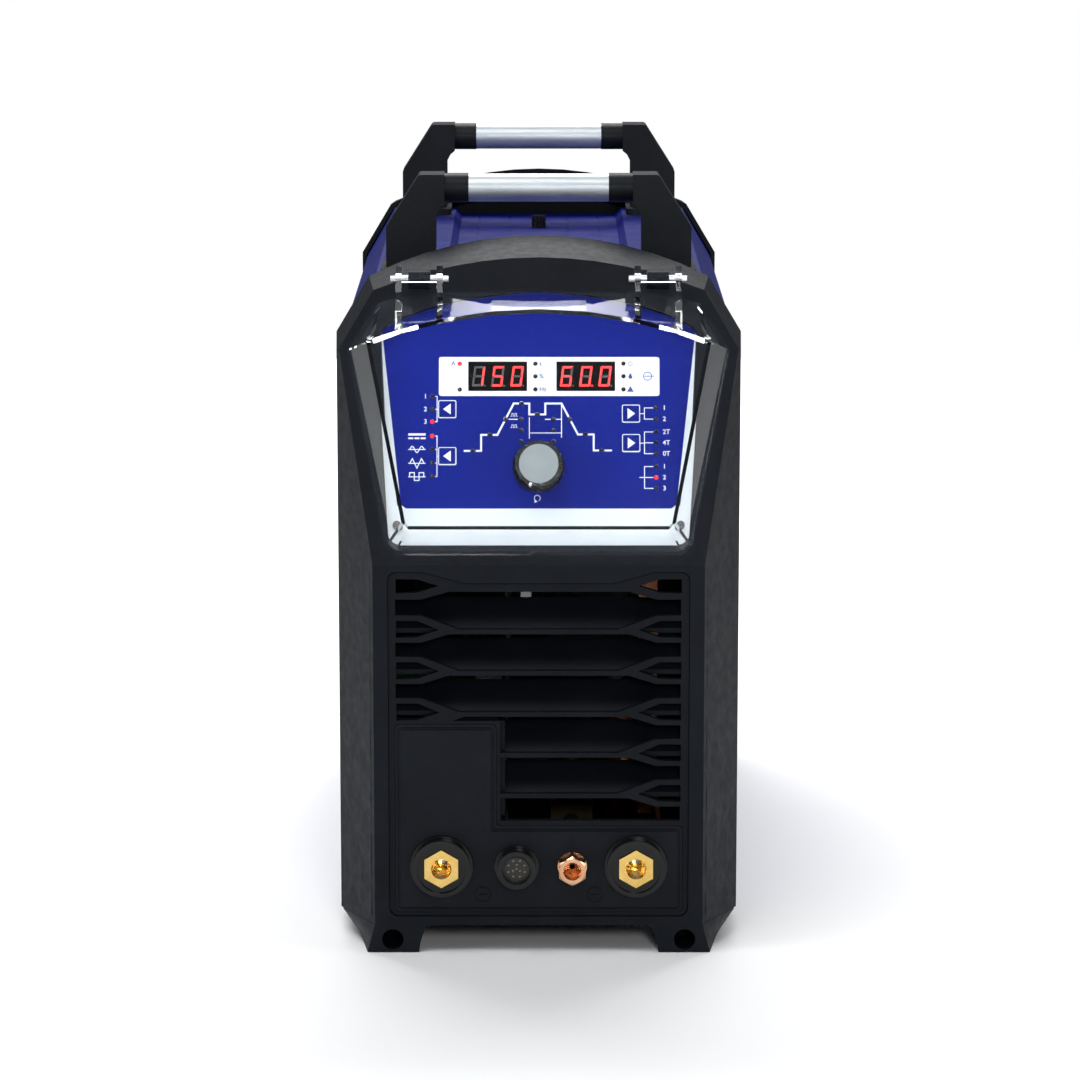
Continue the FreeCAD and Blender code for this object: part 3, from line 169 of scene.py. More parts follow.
ALU = surface("grip_aluminium_satin", (0.50, 0.54, 0.58), (0.60, 0.64, 0.67), (0.42, 0.52), metal=0.85, vscale=30, stretch=(1.0, 14.0, 14.0), bscale=700, bump=0.04, bdist=0.00008)
STEEL = surface("zinc_steel", (0.48, 0.48, 0.48), (0.66, 0.66, 0.65), (0.24, 0.36), metal=1.0, vscale=70, bscale=900, bump=0.06, bdist=0.0001)
BLACKSTEEL = surface("black_oxide_steel", (0.012, 0.012, 0.013), (0.022, 0.022, 0.023), (0.30, 0.42), metal=0.6, vscale=120, bscale=900, bump=0.1, bdist=0.0001)
GLOSSK = surface("black_gloss_moulding", (0.0045, 0.0045, 0.0050), (0.0070, 0.0070, 0.0078), (0.13, 0.22), vscale=70, bscale=700, bump=0.035, bdist=0.0001, coat=0.12, spec=0.22)
KNOBK = surface("knob_black", (0.005, 0.005, 0.0055), (0.0085, 0.0085, 0.009), (0.22, 0.32), vscale=90, bscale=1200, bump=0.05, bdist=0.00008, coat=0.08, spec=0.2)
CAPG = surface("knob_cap_grey", (0.20, 0.225, 0.235), (0.235, 0.26, 0.27), (0.34, 0.42), vscale=60, bscale=1500, bump=0.05, bdist=0.00006)
BRASS = surface("machined_brass", (0.72, 0.47, 0.13), (0.86, 0.60, 0.20), (0.17, 0.29), metal=1.0, vscale=110, bscale=1400, bump=0.05, bdist=0.00005)
BRASSROSE = surface("rose_brass", (0.66, 0.36, 0.20), (0.80, 0.47, 0.28), (0.18, 0.28), metal=1.0, vscale=110, bscale=1400, bump=0.05, bdist=0.00005)
COPPER = surface("copper_winding", (0.60, 0.22, 0.09), (0.76, 0.33, 0.15), (0.26, 0.38), metal=1.0, vscale=30, stretch=(1, 1, 40), bscale=60, bump=0.5, bdist=0.0006)
INSERT = surface("socket_insert_moulding", (0.010, 0.010, 0.011), (0.017, 0.017, 0.018), (0.36, 0.48), vscale=120, bscale=1500, bump=0.06, bdist=0.0001)
RUBBER = surface("hose_rubber", (0.012, 0.012, 0.012), (0.020, 0.020, 0.020), (0.60, 0.75), vscale=50, bscale=900, bump=0.2, bdist=0.0002)
FILMW = surface("panel_film_pale", (0.60, 0.64, 0.67), (0.66, 0.70, 0.73), (0.30, 0.38), vscale=20, bscale=2600, bump=0.05, bdist=0.00004)
FILMB = surface("panel_film_blue", (0.0008, 0.0075, 0.170), (0.0011, 0.0095, 0.195), (0.46, 0.54), vscale=14, bscale=2600, bump=0.06, bdist=0.00004, spec=0.08)
INKW = surface("printed_white", (0.74, 0.77, 0.80), (0.82, 0.84, 0.87), (0.38, 0.46), vscale=60, bscale=2600, bump=0.03, bdist=0.00003)
INKB = surface("printed_blue", (0.020, 0.022, 0.20), (0.030, 0.032, 0.24), (0.38, 0.46), vscale=60, bscale=2600, bump=0.03, bdist=0.00003)
STRIP = surface("display_strip_pale", (0.66, 0.71, 0.75), (0.73, 0.77, 0.81), (0.26, 0.34), vscale=25, bscale=2600, bump=0.03, bdist=0.00003)
WINDOW = surface("display_window", (0.0014, 0.0010, 0.0010), (0.0026, 0.0016, 0.0016), (0.07, 0.13), vscale=50, bscale=1200, bump=0.01, bdist=0.00003, coat=0.6)
SEGON = surface("segment_lit", (0.75, 0.010, 0.012), (0.86, 0.018, 0.018), (0.30, 0.38), vscale=900, bscale=2000, bump=0.04, bdist=0.00003, emit=(1.0, 0.016, 0.018), emit_s=1.25)
SEGOFF = surface("segment_dark", (0.030, 0.030, 0.030), (0.044, 0.042, 0.042), (0.30, 0.40), vscale=900, bscale=2000, bump=0.04, bdist=0.00003)
LAMPK = surface("lamp_dark", (0.006, 0.0035, 0.0035), (0.014, 0.0055, 0.0055), (0.12, 0.2), vscale=900, bscale=2000, bump=0.03, bdist=0.00003, coat=0.5)
LAMPR = surface("lamp_lit", (0.75, 0.008, 0.012), (0.90, 0.014, 0.018), (0.2, 0.3), vscale=900, bscale=2000, bump=0.03, bdist=0.00003, emit=(1.0, 0.012, 0.02), emit_s=1.3)
PCB = surface("board_green", (0.006, 0.055, 0.022), (0.010, 0.085, 0.034), (0.3, 0.42), vscale=160, bscale=600, bump=0.2, bdist=0.0002)
SINK = surface("heatsink_extruded", (0.50, 0.51, 0.52), (0.62, 0.63, 0.64), (0.34, 0.46), metal=1.0, vscale=40, stretch=(1, 0.08, 1), bscale=900, bump=0.12, bdist=0.0001)
CAPS = surface("capacitor_sleeve", (0.010, 0.011, 0.020), (0.016, 0.018, 0.032), (0.24, 0.34), vscale=60, bscale=500, bump=0.06, bdist=0.0001)
FERRITE = surface("ferrite", (0.035, 0.035, 0.037), (0.060, 0.060, 0.062), (0.55, 0.7), vscale=200, bscale=1400, bump=0.3, bdist=0.0002)
RED = surface("switch_red", (0.36, 0.012, 0.010), (0.44, 0.018, 0.014), (0.26, 0.36), vscale=60, bscale=1200, bump=0.06, bdist=0.0001, coat=0.2)
PINS = surface("contact_pins", (0.55, 0.55, 0.56), (0.70, 0.70, 0.71), (0.22, 0.32), metal=0.8, vscale=300, bscale=1500, bump=0.05, bdist=0.00005, spec=0.5)
_nt = PINS.node_tree
_p = next(n for n in _nt.nodes if n.type == "BSDF_PRINCIPLED")
_ramp = next(n for n in _nt.nodes if n.type == "VALTORGB")
_tc = next(n for n in _nt.nodes if n.type == "TEX_COORD")
_sep = N(_nt, "ShaderNodeSeparateXYZ")
L(_nt, _tc, "Object", _sep, "Vector")
_abs = N(_nt, "ShaderNodeMath", operation="ABSOLUTE")
L(_nt, _sep, "X", _abs, 0)
_gt = N(_nt, "ShaderNodeMath", operation="GREATER_THAN")
_gt.inputs[1].default_value = 0.04
L(_nt, _abs, "Value", _gt, 0)
_mix = N(_nt, "ShaderNodeMix", data_type="RGBA")
_mix.inputs[6].default_value = (0.20, 0.16, 0.09, 1)
L(_nt, _gt, "Value", _mix, 0)
_nt.links.new(_ramp.outputs["Color"], _mix.inputs[7])
_nt.links.new(_mix.outputs[2], _p.inputs["Base Color"])
CLEAR = clear("clear_polycarbonate")
# light grey glossy material standing in for the white edge highlights of the clear cover: a painted highlight; no piece
# uses it
PAINTED_EDGE_HIGHLIGHT = surface("painted_edge_highlight", (0.52, 0.54, 0.56), (0.70, 0.72, 0.74), (0.12, 0.22), vscale=120, bscale=900, bump=0.04, bdist=0.0001, coat=0.4)
VALVE = surface("aged_brass_valve", (0.050, 0.036, 0.016), (0.075, 0.054, 0.024), (0.40, 0.52), metal=0.7, vscale=60, bscale=900, bump=0.08, bdist=0.0001)
GOLD = surface("spring_bronze", (0.72, 0.24, 0.030), (0.86, 0.34, 0.050), (0.24, 0.36), metal=0.9, vscale=90, bscale=1200, bump=0.06, bdist=0.0001)

BY_NODE = {
    "front_bezel": BLACK, "rear_bezel": BLACK, "vent_grille": GRILLE, "connector_plate": PLATE, "handle_legs": HANDLE,
    "fan_guard": GUARD, "base_pan": PAINT_K, "rear_plate": PAINT_K, "panel_plate": PAINT_K, "inner_brackets": PAINT_K,
    "left_side_cover": BLUE, "right_side_cover": BLUE, "top_cover": BLUE, "grip_tubes": ALU, "handle_rods": STEEL,
    "handle_bolts": BLACKSTEEL, "case_screws": BLACKSTEEL, "tray_thumbscrew": KNOBK, "hinge_pins": STEEL, "clear_cover": CLEAR,
    "panel_film": FILMW, "digit_displays": WINDOW, "indicator_leds": LAMPK, "control_board": PCB, "circuit_boards": PCB,
    "process_button": FILMB, "waveform_button": FILMB, "gas_test_button": FILMB, "trigger_mode_button": FILMB,
    "encoder_body": STEEL, "encoder_plunger": KNOBK, "encoder_shaft": STEEL, "encoder_knob": KNOBK, "knob_cap": CAPG,
    "socket_collars": GLOSSK, "socket_contacts": BRASS, "socket_pins": PINS, "torch_socket_shell": GLOSSK,
    "torch_socket_insert": INSERT, "gas_outlet": BRASSROSE, "fitting_nuts": BRASS, "gas_inlet": BRASS, "cooler_socket": STEEL,
    "cable_gland": KNOBK, "cable_gland_seal": RUBBER, "fuse_holder": KNOBK, "power_switch_body": KNOBK, "power_switch_knob": RED,
    "fan_frame": KNOBK, "fan_rotor": KNOBK, "heatsinks": SINK, "power_modules": INSERT, "bulk_capacitors": CAPS,
    "transformer_core": FERRITE, "transformer_winding": COPPER, "output_choke": COPPER, "arc_start_coil": COPPER,
    "copper_busbars": COPPER, "gas_valve": VALVE, "gas_hoses": RUBBER,
}
BY_NODE.update({"feet": BLACK, "socket_inserts": INSERT})
for name, ob in NODES.items():
    m = BY_NODE[name]
    ob.data.materials.clear()
    ob.data.materials.append(m)

# ------------------------------------------------------------------ mesh builders
def make(name, bm_or_mesh, material, body):
    if isinstance(bm_or_mesh, bmesh.types.BMesh):
        me = bpy.data.meshes.new(name)
        bm_or_mesh.to_mesh(me)
        bm_or_mesh.free()
    else:
        me = bm_or_mesh
    ob = bpy.data.objects.new(name, me)
    scene.collection.objects.link(ob)
    me.materials.clear()
    me.materials.append(material)
    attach(ob, body)
    return ob


def slab(bm, pts, d0, d1, mtx=PANEL):
    """Closed prism of a flat polygon (x, w) between depths d0 (outer) and d1 (inner)."""
    a = [bm.verts.new(mtx @ Vector((x, d0, w))) for x, w in pts]
    b = [bm.verts.new(mtx @ Vector((x, d1, w))) for x, w in pts]
    n = len(pts)
    bm.faces.new(a)
    bm.faces.new(b[::-1])
    for i in range(n):
        bm.faces.new((a[i - 1], a[i], b[i], b[i - 1])[::-1])


def stroke(bm, pts, width, d0, d1, mtx=PANEL, closed=False):
    """A printed line: one mitred ribbon along the points."""
    n = len(pts)
    P = [Vector(p) for p in pts]
    left, right = [], []
    for i in range(n):
        if closed or 0 < i < n - 1:
            u = (P[i] - P[i - 1]).normalized()
            v = (P[(i + 1) % n] - P[i]).normalized()
        elif i == 0:
            u = v = (P[1] - P[0]).normalized()
        else:
            u = v = (P[-1] - P[-2]).normalized()
        nu, nv = Vector((-u.y, u.x)), Vector((-v.y, v.x))
        m = nu + nv
        m = m / max(0.35, m.length_squared) * 2
        left.append(P[i] + m * width / 2)
        right.append(P[i] - m * width / 2)
    idx = range(n) if closed else range(n - 1)
    for i in idx:
        j = (i + 1) % n
        slab(bm, [tuple(left[i]), tuple(right[i]), tuple(right[j]), tuple(left[j])], d0, d1, mtx)


def disc(bm, x, w, r, d0, d1, n=20, mtx=PANEL):
    slab(bm, [(x + r * math.cos(2 * math.pi * k / n), w + r * math.sin(2 * math.pi * k / n)) for k in range(n)], d0, d1, mtx)


def rrect(x0, x1, w0, w1, r, k=5):
    out = []
    for cx, cw, a0 in ((x1 - r, w0 + r, -90), (x1 - r, w1 - r, 0), (x0 + r, w1 - r, 90), (x0 + r, w0 + r, 180)):
        for i in range(k + 1):
            a = math.radians(a0 + 90 * i / k)
            out.append((cx + r * math.cos(a), cw + r * math.sin(a)))
    return out


def holed(name, outer, holes, d0, d1, material, body):
    """Flat sheet with holes on the leaning panel, from a filled 2-D curve."""
    cu = bpy.data.curves.new(name + "_c", "CURVE")
    cu.dimensions = "2D"
    cu.fill_mode = "BOTH"
    cu.extrude = abs(d1 - d0) / 2
    for loop in [outer] + holes:
        sp = cu.splines.new("POLY")
        sp.points.add(len(loop) - 1)
        for p, (x, w) in zip(sp.points, loop):
            p.co = (x, w, 0, 1)
        sp.use_cyclic_u = True
    tmp = bpy.data.objects.new(name + "_t", cu)
    scene.collection.objects.link(tmp)
    bpy.context.view_layer.update()
    me = bpy.data.meshes.new_from_object(tmp.evaluated_get(bpy.context.evaluated_depsgraph_get()))
    bpy.data.objects.remove(tmp)
    mid = (d0 + d1) / 2
    for v in me.vertices:
        v.co = PANEL @ Vector((v.co.x, mid - v.co.z, v.co.y))
    bm = bmesh.new()
    bm.from_mesh(me)
    bmesh.ops.recalc_face_normals(bm, faces=bm.faces)
    bm.to_mesh(me)
    bm.free()
    return make(name, me, material, body)


# ------------------------------------------------------------------ control panel artwork
KEYS = {"process_key": (-58.4, 100.9), "waveform_key": (-58.3, 70.6), "gas_test_key": (58.95, 98.0), "trigger_mode_key": (59.05, 79.0)}
DISP = ((-26.3, 122.2), (29.95, 122.2))


def wf(X, Y):
    return ((370 + X / 4.752 - 538.7) * 0.6386, 74.03 + (51.1 - Y / 4.752) * 0.6452)


LEFT1 = [(-68.0, 109.1), (-68.0, 100.8), (-68.0, 92.8)]
LEFT2 = [(-68.0, 83.6), (-68.0, 74.9), (-68.0, 66.2), (-68.0, 57.5)]
RIGHT1 = [(75.0, 101.7), (75.0, 94.5)]
RIGHT2 = [(75.0, 86.2), (75.0, 79.2), (75.0, 72.2)]
RIGHT3 = [(75.0, 63.9), (75.0, 56.9), (75.0, 49.9)]
STRIPL = [(-50.5, 130.3), (-50.5, 113.6), (-2.1, 130.3), (-2.1, 122.1), (-2.1, 113.7), (54.2, 130.4), (54.2, 122.2), (54.2, 113.7)]
WAVEL = [wf(*p) for p in ((490, 243), (570, 167), (643, 93), (720, 18), (795, 70), (948, 93), (1023, 165), (1101, 241), (718, 93), (718, 146), (718, 199), (872, 93), (872, 146), (872, 199))]
LEDS = LEFT1 + LEFT2 + RIGHT1 + RIGHT2 + RIGHT3 + STRIPL + WAVEL
LIT = {LEFT1[2], LEFT2[0], RIGHT3[1], STRIPL[0]}

# blue field, with its pale border left at the sides and along the bottom
film_top = [(x, 174.2 - (236.0 - math.sqrt(236.0 ** 2 - x * x))) for x in [96 - 6.4 * k for k in range(31)]]
field = [(-84.5, 36.9), (84.5, 36.9), (87.9, 39.5), (100.2, 150.4)] + film_top[1:-1] + [(-100.2, 150.4), (-87.9, 39.5)]
holes = [rrect(x - 5.25, x + 5.25, w - 5.25, w + 5.25, 0.8)[::-1] for x, w in KEYS.values()]
holes.append([(4.7 * math.cos(-2 * math.pi * k / 24), 63.7 + 4.7 * math.sin(-2 * math.pi * k / 24)) for k in range(24)])
strip = rrect(-63.8, 77.2, 109.4, 134.6, 1.6)
holes.append(strip[::-1])
for x, w in LEDS:
    if (x, w) not in STRIPL:
        holes.append([(x + 1.45 * math.cos(-2 * math.pi * k / 18), w + 1.45 * math.sin(-2 * math.pi * k / 18)) for k in range(18)])
for x, w in ((-88.2, 152.4), (88.2, 152.4)):
    holes.append([(x + 2.0 * math.cos(-2 * math.pi * k / 18), w + 2.0 * math.sin(-2 * math.pi * k / 18)) for k in range(18)])
holed("panel_blue_field", field, holes, FILM - 0.10, FILM - 0.01, FILMB, "root")
sh = [rrect(x - 18.9, x + 18.9, w - 9.6, w + 9.6, 0.4)[::-1] for x, w in DISP]
for x, w in STRIPL:
    sh.append([(x + 1.45 * math.cos(-2 * math.pi * k / 18), w + 1.45 * math.sin(-2 * math.pi * k / 18)) for k in range(18)])
holed("panel_display_strip", strip, sh, FILM - 0.14, FILM - 0.01, STRIP, "root")

D0, D1 = FILM - 0.17, FILM - 0.08
ink = bmesh.new()
WFL = [wf(*p) for p in ((450, 243), (528, 243), (528, 167), (605, 167), (683, 18), (757, 18), (757, 70), (833, 70), (833, 18), (910, 18), (988, 165), (1063, 165), (1063, 241), (1145, 241))]
LED_R = 1.75


def gap_stroke(pts, width, leds):
    """The curve stops short of each lamp on it."""
    for a, b in zip(pts, pts[1:]):
        A, B = Vector(a), Vector(b)
        d = (B - A)
        ln = d.length
        u = d / ln
        cuts = []
        for q in leds:
            t = (Vector(q) - A).dot(u)
            if -0.5 < t < ln + 0.5 and ((A + u * t) - Vector(q)).length < 1.0:
                cuts.append((t - LED_R, t + LED_R))
        s0 = -width / 2
        for c0, c1 in sorted(cuts):
            if c0 > s0 + 0.1:
                stroke(ink, [tuple(A + u * s0), tuple(A + u * c0)], width, D0, D1)
            s0 = c1
        if s0 < ln:
            stroke(ink, [tuple(A + u * s0), tuple(A + u * (ln + width / 2))], width, D0, D1)


gap_stroke(WFL, 1.15, WAVEL)
thin = 0.5
gap_stroke([wf(757, 85), wf(757, 183)], thin, [])
gap_stroke([wf(910, 26), wf(910, 178)], thin, [])
gap_stroke([wf(757, 158), wf(910, 158)], thin, [])
gap_stroke([wf(833, 93), wf(910, 93)], thin, WAVEL)
gap_stroke([wf(660, 93), wf(700, 93)], thin, [])


def bracket(leds, xb, key, side):
    for x, w in leds:
        stroke(ink, [(xb, w), (x - side * 1.9, w)], thin, D0, D1)
    stroke(ink, [(xb, leds[0][1] + thin / 2), (xb, leds[-1][1] - thin / 2)], thin, D0, D1)
    if key:
        stroke(ink, [(key[0] + side * 5.6, key[1]), (xb, key[1])], thin, D0, D1)


bracket(LEFT1, -64.9, KEYS["process_key"], -1)
bracket(LEFT2, -64.9, KEYS["waveform_key"], -1)
bracket(RIGHT1, 67.5, KEYS["gas_test_key"], 1)
bracket(RIGHT2, 67.5, KEYS["trigger_mode_key"], 1)
bracket(RIGHT3, 67.5, None, 1)
stroke(ink, [(64.2, 56.9), (67.5, 56.9)], thin, D0, D1)
for x, w in KEYS.values():
    stroke(ink, rrect(x - 5.55, x + 5.55, w - 5.55, w + 5.55, 0.9), 0.5, D0, D1, closed=True)
# waveform signs beside the lamps: direct, sine, triangle, square
x0, x1 = -83.2, -72.2
slab(ink, [(x0, 83.9), (x1, 83.9), (x1, 85.3), (x0, 85.3)], D0, D1)
for k in range(3):
    a = x0 + k * 3.95
    slab(ink, [(a, 81.6), (a + 3.1, 81.6), (a + 3.1, 82.6), (a, 82.6)], D0, D1)
stroke(ink, [(x0, 74.9), (x1, 74.9)], 0.5, D0, D1)
stroke(ink, [(x0 + 1.0 + 9.0 * t / 36, 74.9 + 2.0 * math.sin(3 * math.pi * t / 36)) for t in range(37)], 0.55, D0, D1)
stroke(ink, [(x0, 66.0), (x1, 66.0)], 0.5, D0, D1)
stroke(ink, [(x0 + 0.9, 66.0), (x0 + 2.6, 69.0), (x0 + 5.5, 62.9), (x0 + 8.4, 69.0), (x0 + 10.1, 66.0)], 0.55, D0, D1)
stroke(ink, [(x0, 57.3), (x1, 57.3)], 0.5, D0, D1)
stroke(ink, [(x0 + 0.9, 57.3), (x0 + 0.9, 60.0), (x0 + 3.9, 60.0), (x0 + 3.9, 55.0), (x0 + 6.9, 55.0), (x0 + 6.9, 60.0), (x0 + 9.9, 60.0), (x0 + 9.9, 57.3)], 0.55, D0, D1)
# small pulse signs in the curve
for px_, py_ in ((690, 72), (690, 126)):
    a, b = wf(px_, py_)
    stroke(ink, [(a - 3.0, b - 0.9), (a - 2.2, b - 0.9), (a - 2.2, b + 0.9), (a - 1.2, b + 0.9), (a - 1.2, b - 0.9), (a - 0.2, b - 0.9), (a - 0.2, b + 0.9), (a + 0.8, b + 0.9), (a + 0.8, b - 0.9), (a + 1.6, b - 0.9)], 0.28, D0, D1)
# turning arrow under the knob
cx, cw = -0.9, 43.6
stroke(ink, [(cx + 1.9 * math.cos(math.radians(a)), cw + 1.9 * math.sin(math.radians(a))) for a in range(-60, 241, 15)], 0.38, D0, D1)
slab(ink, [(cx - 2.0, cw - 2.9), (cx + 0.2, cw - 2.3), (cx - 1.5, cw - 0.9)], D0, D1)
make("panel_white_print", ink, INKW, "root")

# lamps: a low dome in each hole
dark, lit = bmesh.new(), bmesh.new()
for q in LEDS:
    b = lit if q in LIT else dark
    x, w = q
    rings = []
    for j in range(5):
        a = math.radians(90 * j / 5)
        rings.append([b.verts.new(wp(x + 1.38 * math.cos(a) * math.cos(2 * math.pi * k / 20), FILM + 0.35 - 0.75 * math.sin(a), w + 1.38 * math.cos(a) * math.sin(2 * math.pi * k / 20))) for k in range(20)])
    top = b.verts.new(wp(x, FILM - 0.40, w))
    bot = b.verts.new(wp(x, FILM + 0.35, w))
    for r0, r1 in zip(rings, rings[1:]):
        for k in range(20):
            b.faces.new((r0[k - 1], r0[k], r1[k], r1[k - 1]))
    for k in range(20):
        b.faces.new((rings[-1][k - 1], rings[-1][k], top))
        b.faces.new((rings[0][k], rings[0][k - 1], bot))
for b, nm, mt in ((dark, "lamp_domes_dark", LAMPK), (lit, "lamp_domes_lit", LAMPR)):
    bmesh.ops.recalc_face_normals(b, faces=b.faces)
    ob = make(nm, b, mt, "root")
    for f in ob.data.polygons:
        f.use_smooth = True

# digits: slanted seven-segment bars with every unlit bar faintly showing
SEG = {"0": "abcdef", "1": "bc", "2": "abged", "3": "abgcd", "4": "fgbc", "5": "afgcd", "6": "afgedc", "7": "abc", "8": "abcdefg", "9": "abfgcd"}


def digit(on, off, cx, cw, ch, dot=False):
    hw_, hh, t, sl = 3.55, 6.55, 1.35, 0.13
    g = 0.22

    def q(pts):
        return [(cx + x + sl * z, cw + z) for x, z in pts]
    bars = {
        "a": [(-hw_ + g, hh), (hw_ - g, hh), (hw_ - t - g, hh - t), (-hw_ + t + g, hh - t)],
        "d": [(-hw_ + g, -hh), (-hw_ + t + g, -hh + t), (hw_ - t - g, -hh + t), (hw_ - g, -hh)],
        "b": [(hw_, hh - g), (hw_, g), (hw_ - t * 0.5, g), (hw_ - t, t * 0.5 + g), (hw_ - t, hh - t - g)],
        "c": [(hw_, -g), (hw_, -hh + g), (hw_ - t, -hh + t + g), (hw_ - t, -t * 0.5 - g), (hw_ - t * 0.5, -g)],
        "f": [(-hw_, hh - g), (-hw_ + t, hh - t - g), (-hw_ + t, t * 0.5 + g), (-hw_ + t * 0.5, g), (-hw_, g)],
        "e": [(-hw_, -g), (-hw_ + t * 0.5, -g), (-hw_ + t, -t * 0.5 - g), (-hw_ + t, -hh + t + g), (-hw_, -hh + g)],
        "g": [(-hw_ + t * 0.5 + g, 0), (-hw_ + t + g, t * 0.5), (hw_ - t - g, t * 0.5), (hw_ - t * 0.5 - g, 0), (hw_ - t - g, -t * 0.5), (-hw_ + t + g, -t * 0.5)],
    }
    for s_, pts in bars.items():
        slab(on if s_ in SEG[ch] else off, q(pts), 7.18, 7.29)
    disc(on if dot else off, cx + hw_ + 1.25 - sl * hh, cw - hh + 0.5, 0.6, 7.18, 7.29, 12)


on, off = bmesh.new(), bmesh.new()
for (x, w), txt, dp in ((DISP[0], "150", -1), (DISP[1], "600", 1)):
    for k, ch in enumerate(txt):
        digit(on, off, x - 12.1 + 12.3 * k, w, ch, k == dp)
for b, nm, mt in ((on, "digit_bars_lit", SEGON), (off, "digit_bars_unlit", SEGOFF)):
    bmesh.ops.recalc_face_normals(b, faces=b.faces)
    make(nm, b, mt, "root")

# key signs: white triangles, each riding on its own key
for body, (x, w) in KEYS.items():
    b = bmesh.new()
    sd = -1 if x < 0 else 1
    slab(b, [(x - sd * 2.2, w - 3.5), (x + sd * 2.6, w), (x - sd * 2.2, w + 3.5)], 6.21, 6.31)
    bmesh.ops.recalc_face_normals(b, faces=b.faces)
    make(body + "_sign", b, INKW, body)

# white pointer in the slot of the knob
mk = Matrix.Translation((0, 0, 63.7)) @ Matrix.Rotation(math.radians(-158.0), 4, "Y")
b = bmesh.new()
slab(b, [(-0.86, 13.0), (0.86, 13.0), (0.86, 15.0), (-0.86, 15.0)], -8.72, 0.5, PANEL @ mk)
bmesh.ops.bevel(b, geom=b.edges[:], offset=0.00012, segments=2, affect="EDGES")
bmesh.ops.recalc_face_normals(b, faces=b.faces)
make("knob_pointer", b, INKW, "knob")


# printed unit signs
def sign(name, body_txt, x, w, size, material, align="LEFT"):
    cu = bpy.data.curves.new(name, "FONT")
    cu.body = body_txt
    cu.size = size
    cu.align_x = align
    cu.align_y = "CENTER"
    cu.extrude = 0.04
    cu.offset = 0.045
    tmp = bpy.data.objects.new(name + "_t", cu)
    scene.collection.objects.link(tmp)
    bpy.context.view_layer.update()
    me = bpy.data.meshes.new_from_object(tmp.evaluated_get(bpy.context.evaluated_depsgraph_get()))
    bpy.data.objects.remove(tmp)
    for v in me.vertices:
        v.co = wp(x + v.co.x, FILM - 0.16 - v.co.z, w + v.co.y)
    return make(name, me, material, "root")


for nm, t, x, w, sz, mt, al in (
        ("sign_ampere", "A", -53.3, 130.3, 4.0, INKB, "RIGHT"), ("sign_second", "s", 0.4, 130.3, 4.0, INKB, "LEFT"), ("sign_percent", "%", 0.4, 122.1, 4.0, INKB, "LEFT"), ("sign_hertz", "Hz", 0.4, 113.7, 4.0, INKB, "LEFT"),
        ("sign_process_1", "1", -71.3, 109.1, 4.2, INKW, "RIGHT"), ("sign_process_2", "2", -71.3, 100.8, 4.2, INKW, "RIGHT"), ("sign_process_3", "3", -71.3, 92.8, 4.2, INKW, "RIGHT"),
        ("sign_gas_1", "1", 79.2, 101.7, 4.2, INKW, "LEFT"), ("sign_gas_2", "2", 79.2, 94.5, 4.2, INKW, "LEFT"),
        ("sign_two_step", "2T", 79.2, 86.2, 4.2, INKW, "LEFT"), ("sign_four_step", "4T", 79.2, 79.2, 4.2, INKW, "LEFT"), ("sign_spot", "0T", 79.2, 72.2, 4.2, INKW, "LEFT"),
        ("sign_mode_1", "1", 79.2, 63.9, 4.0, INKW, "LEFT"), ("sign_mode_2", "2", 79.2, 56.9, 4.0, INKW, "LEFT"), ("sign_mode_3", "3", 79.2, 49.9, 4.0, INKW, "LEFT")):
    sign(nm, t, x, w, sz, mt, al)

# strip symbols at the right end: standby, drop, caution, torch
sym = bmesh.new()
stroke(sym, [(58.6 + 1.2 * math.cos(math.radians(a)), 130.3 + 1.2 * math.sin(math.radians(a))) for a in range(-235, 56, 15)], 0.35, FILM - 0.2, FILM - 0.13)
stroke(sym, [(58.6, 130.5), (58.6, 132.0)], 0.35, FILM - 0.2, FILM - 0.13)
slab(sym, [(58.6 + 1.25 * math.cos(math.radians(a)), 121.7 + 1.25 * math.sin(math.radians(a))) for a in range(-210, 31, 20)] + [(58.6, 124.4)], FILM - 0.2, FILM - 0.13)
slab(sym, [(56.4, 112.1), (60.8, 112.1), (58.6, 115.9)], FILM - 0.2, FILM - 0.13)
stroke(sym, [(69.6 + 2.6 * math.cos(math.radians(a)), 122.2 + 2.6 * math.sin(math.radians(a))) for a in range(0, 360, 15)], 0.5, FILM - 0.2, FILM - 0.13, closed=True)
stroke(sym, [(67.6, 122.2), (73.8, 122.2)], 0.5, FILM - 0.2, FILM - 0.13)
bmesh.ops.recalc_face_normals(sym, faces=sym.faces)
make("strip_symbols", sym, INKB, "root")

# low diamond relief moulded into the side facets of the front bezel
lo_b, hi_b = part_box("front_bezel")


def edge_x(y_raw, z):
    """Half width of the moulding's leaning side at a depth, between the face edge and the seam."""
    pts_ = [(0.0, FACE_HW), (45.0, 129.3), (106.0, 132.0)]
    for (a0, b0), (a1, b1) in zip(pts_, pts_[1:]):
        if y_raw <= a1:
            return b0 + (b1 - b0) * (y_raw - a0) / (a1 - a0)
    return pts_[-1][1]


